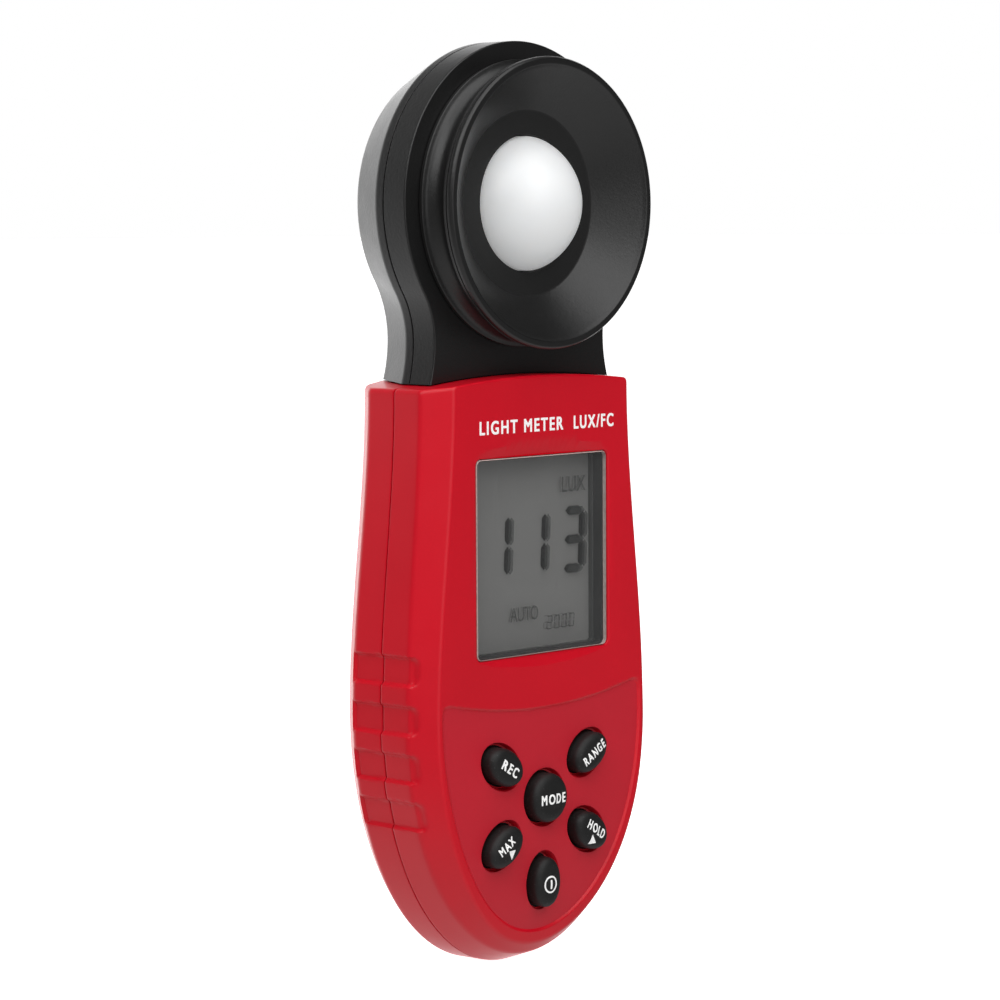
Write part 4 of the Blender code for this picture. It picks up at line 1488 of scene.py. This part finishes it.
def key_cap(name):
    """A rubber cap with a rolled edge, a retaining flange behind the shell and a stem to its switch."""
    half_long, half_short = KEY_SIZES[name]
    x, z, turn = key_place(name)
    floor = face_depth(z)

    def level(inset, depth):
        return at_depth(oval(half_long - inset, half_short - inset, x, z, turn), depth)

    loops = [at_depth(oval(1.6, 1.6, x, z, turn), depth) for depth in (4.7, 3.5)]
    loops += [level(-0.8, 3.5), level(-0.8, WALL + GAP), level(0.0, WALL + GAP), level(0.0, floor + 0.4)]
    for step in spread(0.0, 1.0, 14):
        share = step**2.4
        loops.append(level(KEY_EDGE * share, floor - KEY_SIDE_TOP - KEY_EDGE_HEIGHT * rolled(share)))
    for share in spread(1.0, 0.02, 9)[1:]:
        height = key_proud(half_long, half_short, (half_long - KEY_EDGE) * share, 0.0)
        outline = oval((half_long - KEY_EDGE) * share, (half_short - KEY_EDGE) * share, x, z, turn)
        loops.append(at_depth(outline, floor - height))
    piece = drawn("cap_" + name, ["key_rubber"], lambda data: loft(data, loops))
    place(piece, name + "_cap", "key_rubber", ["key_" + name], sharp=40.0)


def legend(name, text, width, height, u, v, part="text"):
    """White lettering centred at u, v on a key, along the key's long axis."""
    half_long, half_short = KEY_SIZES[name]
    x, z, turn = key_place(name)
    lean = turn - math.pi * round(turn / math.pi)

    def carry(along, across):
        right = along * math.cos(lean) - across * math.sin(lean)
        return x + right, z + along * math.sin(lean) + across * math.cos(lean)

    def depth_at(px, pz):
        along = (px - x) * math.cos(lean) + (pz - z) * math.sin(lean)
        across = (pz - z) * math.cos(lean) - (px - x) * math.sin(lean)
        return face_depth(z) - key_proud(half_long, half_short, along, across)

    data = letters(text, u - width / 2, v - height / 2, width, height, 0.5, depth_at, carry)
    piece = solid("legend_%s_%s" % (name, part), data, ["print_white"])
    place(piece, name + "_cap", "key_rubber")


def symbol(name, part, outlines):
    """A printed shape on a key, from outlines of x, z places relative to the key's centre."""
    half_long, half_short = KEY_SIZES[name]
    x, z, turn = key_place(name)

    def lay(u, v, lift):
        along = u * math.cos(turn) + v * math.sin(turn)
        across = v * math.cos(turn) - u * math.sin(turn)
        return (x + u, face_depth(z) - key_proud(half_long, half_short, along, across) + lift, z + v)

    def draw(data):
        for outline in outlines:
            loft(data, [[(u, lift, v) for u, v in outline] for lift in (1.0, -1.0)])
        split_long(data, 0.35 * MM)
        for vert in data.verts:
            u, lift, v = vert.co.x / MM, vert.co.y / MM - FACE_Y, vert.co.z / MM
            vert.co = spot(*lay(u, v, 0.05 * lift))

    place(drawn("legend_%s_%s" % (name, part), ["print_white"], draw), name + "_cap", "key_rubber")


def triangle(u, v, half, height, point_up):
    tip, base = (v + height / 2, v - height / 2) if point_up else (v - height / 2, v + height / 2)
    return [(u - half, base), (u + half, base), (u, tip)]


def ring_sectors(u, v, radius, stroke, steps=32):
    """A circle line as short pieces, so that it can follow a curved key."""
    inner, outer = radius - stroke / 2, radius + stroke / 2
    found = []
    for i in range(steps):
        a, b = 2 * math.pi * i / steps, 2 * math.pi * (i + 1) / steps
        corners = ((inner, a), (outer, a), (outer, b), (inner, b))
        found.append([(u + r * math.cos(t), v + r * math.sin(t)) for r, t in corners])
    return found


def keys():
    for name in KEY_SIZES:
        key_cap(name)
    legend("mode", "MODE", 7.0, 2.1, 0.1, -0.1)
    legend("rec", "REC", 5.0, 2.1, 0.2, -0.1)
    legend("range", "RANGE", 7.0, 2.0, 0.1, 0.1)
    legend("max", "MAX", 4.6, 1.75, -0.5, 0.9)
    legend("hold", "HOLD", 5.6, 2.0, 0.2, 0.55)
    symbol("max", "arrow", [triangle(0.5, -1.5, 1.0, 1.9, False)])
    symbol("hold", "arrow", [triangle(-0.7, -1.6, 1.0, 1.9, True)])
    dot = [(-0.2 + u, v) for u, v in rounded_box((-0.2, -1.25), (0.2, 0.65), 0.12, 2)]
    symbol("power", "mark", [dot] + ring_sectors(-0.2, -0.3, 1.62, 0.36))


# --- Screws, cells and contacts ---

PITCH = 0.7  # of a screw's thread
CELL_DEPTH, CELL_STEPS = 17.45, 64


def cross_bar(here, top, half_x, half_z):
    """One bar of a cross recess, which narrows towards its floor."""
    corners = [(-1, -1), (1, -1), (1, 1), (-1, 1)]
    low = [(here.x + sx * half_x * 0.55, here.z + sz * half_z * 0.6) for sx, sz in corners]
    high = [(here.x + sx * half_x, here.z + sz * half_z) for sx, sz in corners]
    return lambda data: loft(data, [at_depth(low, top - 1.0), at_depth(high, top + 0.3)])


def screw(name, tip, seat):
    """A pan-head tapping screw with a cross recess and a thread."""
    here = middle(name)
    under, top = seat + GAP, seat + GAP + 1.8
    profile = [(0, tip), (0.5, tip + 0.7)]
    for i in range(int((seat - tip - 1.0) / PITCH)):
        profile += [(0.85, tip + 1.0 + PITCH * i), (1.1, tip + 1.25 + PITCH * i)]
    profile += [(0.9, under - 0.1), (2.35, under), (2.4, under + 0.9)]
    profile += [(2.2, top - 0.4), (1.5, top - 0.08), (0, top)]

    def turned(data):
        lathe(data, profile, here.x, here.z, 32, closed=False)

    piece = drawn("fitted_" + name, ["zinc_steel"], turned)
    bars = [cross_bar(here, top, *half) for half in ((1.35, 0.3), (0.3, 1.35))]
    carve(piece, "DIFFERENCE", ["zinc_steel"], *bars)
    place(piece, "meter", "zinc_steel", [name])


def screws():
    for number in range(1, 5):
        screw("case_screw_%d" % number, CASE_TIP, CASE_SEAT)
    for number in range(1, 4):
        screw("head_screw_%d" % number, HEAD_TIP, HEAD_SEAT)


def battery(number):
    """A dry cell: sleeve with rolled ends, steel cap with its nub, and a dished negative end."""
    low, high = extent("battery_%d" % number)
    x, radius = (low.x + high.x) / 2, (high.x - low.x) / 2
    up = number != 2  # the middle cell stands on its head
    sleeve = [
        (4.3, 0.0), (radius - 0.5, 0.12), (radius - 0.1, 0.5), (radius, 1.0),
        (radius, 42.6), (radius - 0.1, 43.1), (radius - 0.6, 43.5), (4.2, 43.45),
    ]
    steel = [
        (0, 0.25), (3.6, 0.25), (4.0, 0.05), (4.32, 0.2), (4.32, 43.2), (3.9, 43.3),
        (2.2, 43.35), (1.9, 43.7), (1.85, 44.3), (1.55, 44.5), (0, 44.5),
    ]

    def turned(profile):
        circles = []
        for r, along in profile:
            height = low.z + along if up else high.z - along
            outline = oval(r, r, x, CELL_DEPTH, steps=CELL_STEPS) if r else [(x, CELL_DEPTH)]
            circles.append([(px, depth, height) for px, depth in outline])
        return lambda data: join_circles(data, circles, CELL_STEPS, closed=profile[0][0] != 0)

    can = drawn("cell_can_%d" % number, ["contact_nickel"], turned(steel))
    place(can, "meter", "contact_nickel", ["battery_%d" % number])
    place(drawn("cell_sleeve_%d" % number, ["battery_wrap"], turned(sleeve)), "meter", "battery_wrap")


def batteries():
    for number in (1, 2, 3):
        battery(number)


INNER_LOOKS = {
    "sensor_holder": "black_abs",
    "correction_filter": "filter_glass",
    "photodiode": "light_cell",
    "sensor_board": "circuit_board",
    "sensor_ribbon": "ribbon_grey",
    "main_board": "circuit_board",
    "processor_chip": "chip_black",
    "ribbon_connector": "white_nylon",
    "zebra_strip_upper": "contact_rubber",
    "zebra_strip_lower": "contact_rubber",
    "battery_contact_lower": "contact_nickel",
    "battery_contact_upper": "contact_nickel",
}


def inner_parts():
    """Finishes for the frame's own pieces, which keep their shape."""
    wanted = dict(INNER_LOOKS)
    wanted.update(("switch_" + name, "switch_metal") for name in KEY_SIZES)
    for node, finish in wanted.items():
        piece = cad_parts[node]
        piece.data.materials.clear()
        piece.data.materials.append(look(finish))


# --- Add-on: sizes, colours, operators, panel ---


def length(name, description, millimetres):
    return FloatProperty(
        name=name, description=description, default=millimetres * MM, min=0.0, unit="LENGTH", precision=5
    )


def tint(name, description, color):
    return FloatVectorProperty(
        name=name, description=description, default=color, min=0.0, max=1.0, size=3, subtype="COLOR"
    )


class MeterSizes(bpy.types.PropertyGroup):
    """Sizes of the finishing details."""

    face_edge: length("Face edge", "Rounding between the display face and its slope", 0.6)
    side_edge: length("Side edge", "Rounding between slope and side", 0.7)
    pad_depth: length("Pad depth", "How far the finger pads are sunk", 0.8)
    panel_drop: length("Panel drop", "How far the keypad panel is sunk", 0.42)
    head_edge: length("Head edge", "Rounding of the sensor head's front edge", 0.35)


class MeterColours(bpy.types.PropertyGroup):
    """Main colours of the meter."""

    red: tint("Red shell", "Moulded grip", (0.67, 0.002, 0.015))
    panel: tint("Keypad panel", "Sunk panel round the keys", (0.60, 0.008, 0.024))
    black: tint("Black head", "Moulded sensor head", (0.009, 0.009, 0.009))
    rubber: tint("Key rubber", "Soft keys", (0.008, 0.008, 0.008))
    ink: tint("Print", "Lettering on the face and the keys", (0.85, 0.85, 0.84))
    diffuser: tint("Diffuser", "Opal dome", (0.95, 0.95, 0.95))
    display: tint("Display", "Grey of the display", (0.16, 0.16, 0.155))


class METER_OT_front_shell(bpy.types.Operator):
    """Builds the red front shell with its window, panel and key holes"""

    bl_idname = "meter.front_shell"
    bl_label = "Front Shell"

    def execute(self, context):
        front_shell()
        return {"FINISHED"}


class METER_OT_rear_shell(bpy.types.Operator):
    """Builds the red rear shell with its battery bay"""

    bl_idname = "meter.rear_shell"
    bl_label = "Rear Shell"

    def execute(self, context):
        rear_shell()
        return {"FINISHED"}


class METER_OT_battery_door(bpy.types.Operator):
    """Builds the lid of the battery bay"""

    bl_idname = "meter.battery_door"
    bl_label = "Battery Door"

    def execute(self, context):
        battery_door()
        return {"FINISHED"}


class METER_OT_head_shells(bpy.types.Operator):
    """Builds both shells of the sensor head"""

    bl_idname = "meter.head_shells"
    bl_label = "Sensor Head"

    def execute(self, context):
        head_shells()
        return {"FINISHED"}


class METER_OT_bezel_ring(bpy.types.Operator):
    """Builds the collar and dish around the sensor"""

    bl_idname = "meter.bezel_ring"
    bl_label = "Bezel Ring"

    def execute(self, context):
        bezel_ring()
        return {"FINISHED"}


class METER_OT_diffuser(bpy.types.Operator):
    """Builds the opal dome"""

    bl_idname = "meter.diffuser"
    bl_label = "Diffuser"

    def execute(self, context):
        diffuser()
        return {"FINISHED"}


class METER_OT_display(bpy.types.Operator):
    """Builds window, well, display and its figures"""

    bl_idname = "meter.display"
    bl_label = "Display"

    def execute(self, context):
        window_lens()
        display_mask()
        display_glass()
        figures()
        return {"FINISHED"}


class METER_OT_face_print(bpy.types.Operator):
    """Prints the lettering above the display"""

    bl_idname = "meter.face_print"
    bl_label = "Face Print"

    def execute(self, context):
        face_print()
        return {"FINISHED"}


class METER_OT_keys(bpy.types.Operator):
    """Builds the six keys and their legends"""

    bl_idname = "meter.keys"
    bl_label = "Keys"

    def execute(self, context):
        keys()
        return {"FINISHED"}


class METER_OT_screws(bpy.types.Operator):
    """Builds the case and head screws"""

    bl_idname = "meter.screws"
    bl_label = "Screws"

    def execute(self, context):
        screws()
        return {"FINISHED"}


class METER_OT_batteries(bpy.types.Operator):
    """Builds the three dry cells"""

    bl_idname = "meter.batteries"
    bl_label = "Batteries"

    def execute(self, context):
        batteries()
        return {"FINISHED"}


class METER_OT_inner_parts(bpy.types.Operator):
    """Gives the boards, contacts and switches their finishes"""

    bl_idname = "meter.inner_parts"
    bl_label = "Inner Parts"

    def execute(self, context):
        inner_parts()
        return {"FINISHED"}


class METER_OT_stage(bpy.types.Operator):
    """Adds floor, light and camera"""

    bl_idname = "meter.stage"
    bl_label = "Stage"

    def execute(self, context):
        stage()
        return {"FINISHED"}


OPERATORS = (
    METER_OT_front_shell,
    METER_OT_rear_shell,
    METER_OT_battery_door,
    METER_OT_head_shells,
    METER_OT_bezel_ring,
    METER_OT_diffuser,
    METER_OT_display,
    METER_OT_face_print,
    METER_OT_keys,
    METER_OT_screws,
    METER_OT_batteries,
    METER_OT_inner_parts,
    METER_OT_stage,
)


class METER_PT_panel(bpy.types.Panel):
    """Lists the sizes, the colours and the steps that build the meter."""

    bl_label = "Light Meter"
    bl_idname = "METER_PT_panel"
    bl_space_type = "VIEW_3D"
    bl_region_type = "UI"
    bl_category = "Light Meter"

    def draw(self, context):
        for group in (context.scene.meter_sizes, context.scene.meter_colours):
            box = self.layout.box()
            for name in group.__annotations__:
                box.prop(group, name)
        for made in OPERATORS:
            self.layout.operator(made.bl_idname)


CLASSES = [MeterSizes, MeterColours, *OPERATORS, METER_PT_panel]


def register():
    for made in CLASSES:
        bpy.utils.register_class(made)
    bpy.types.Scene.meter_sizes = PointerProperty(type=MeterSizes)
    bpy.types.Scene.meter_colours = PointerProperty(type=MeterColours)


def unregister():
    del bpy.types.Scene.meter_colours
    del bpy.types.Scene.meter_sizes
    for made in reversed(CLASSES):
        bpy.utils.unregister_class(made)


def main():
    register()
    for made in OPERATORS:
        group, step = made.bl_idname.split(".")
        getattr(getattr(bpy.ops, group), step)()


if __name__ == "__main__":
    main()
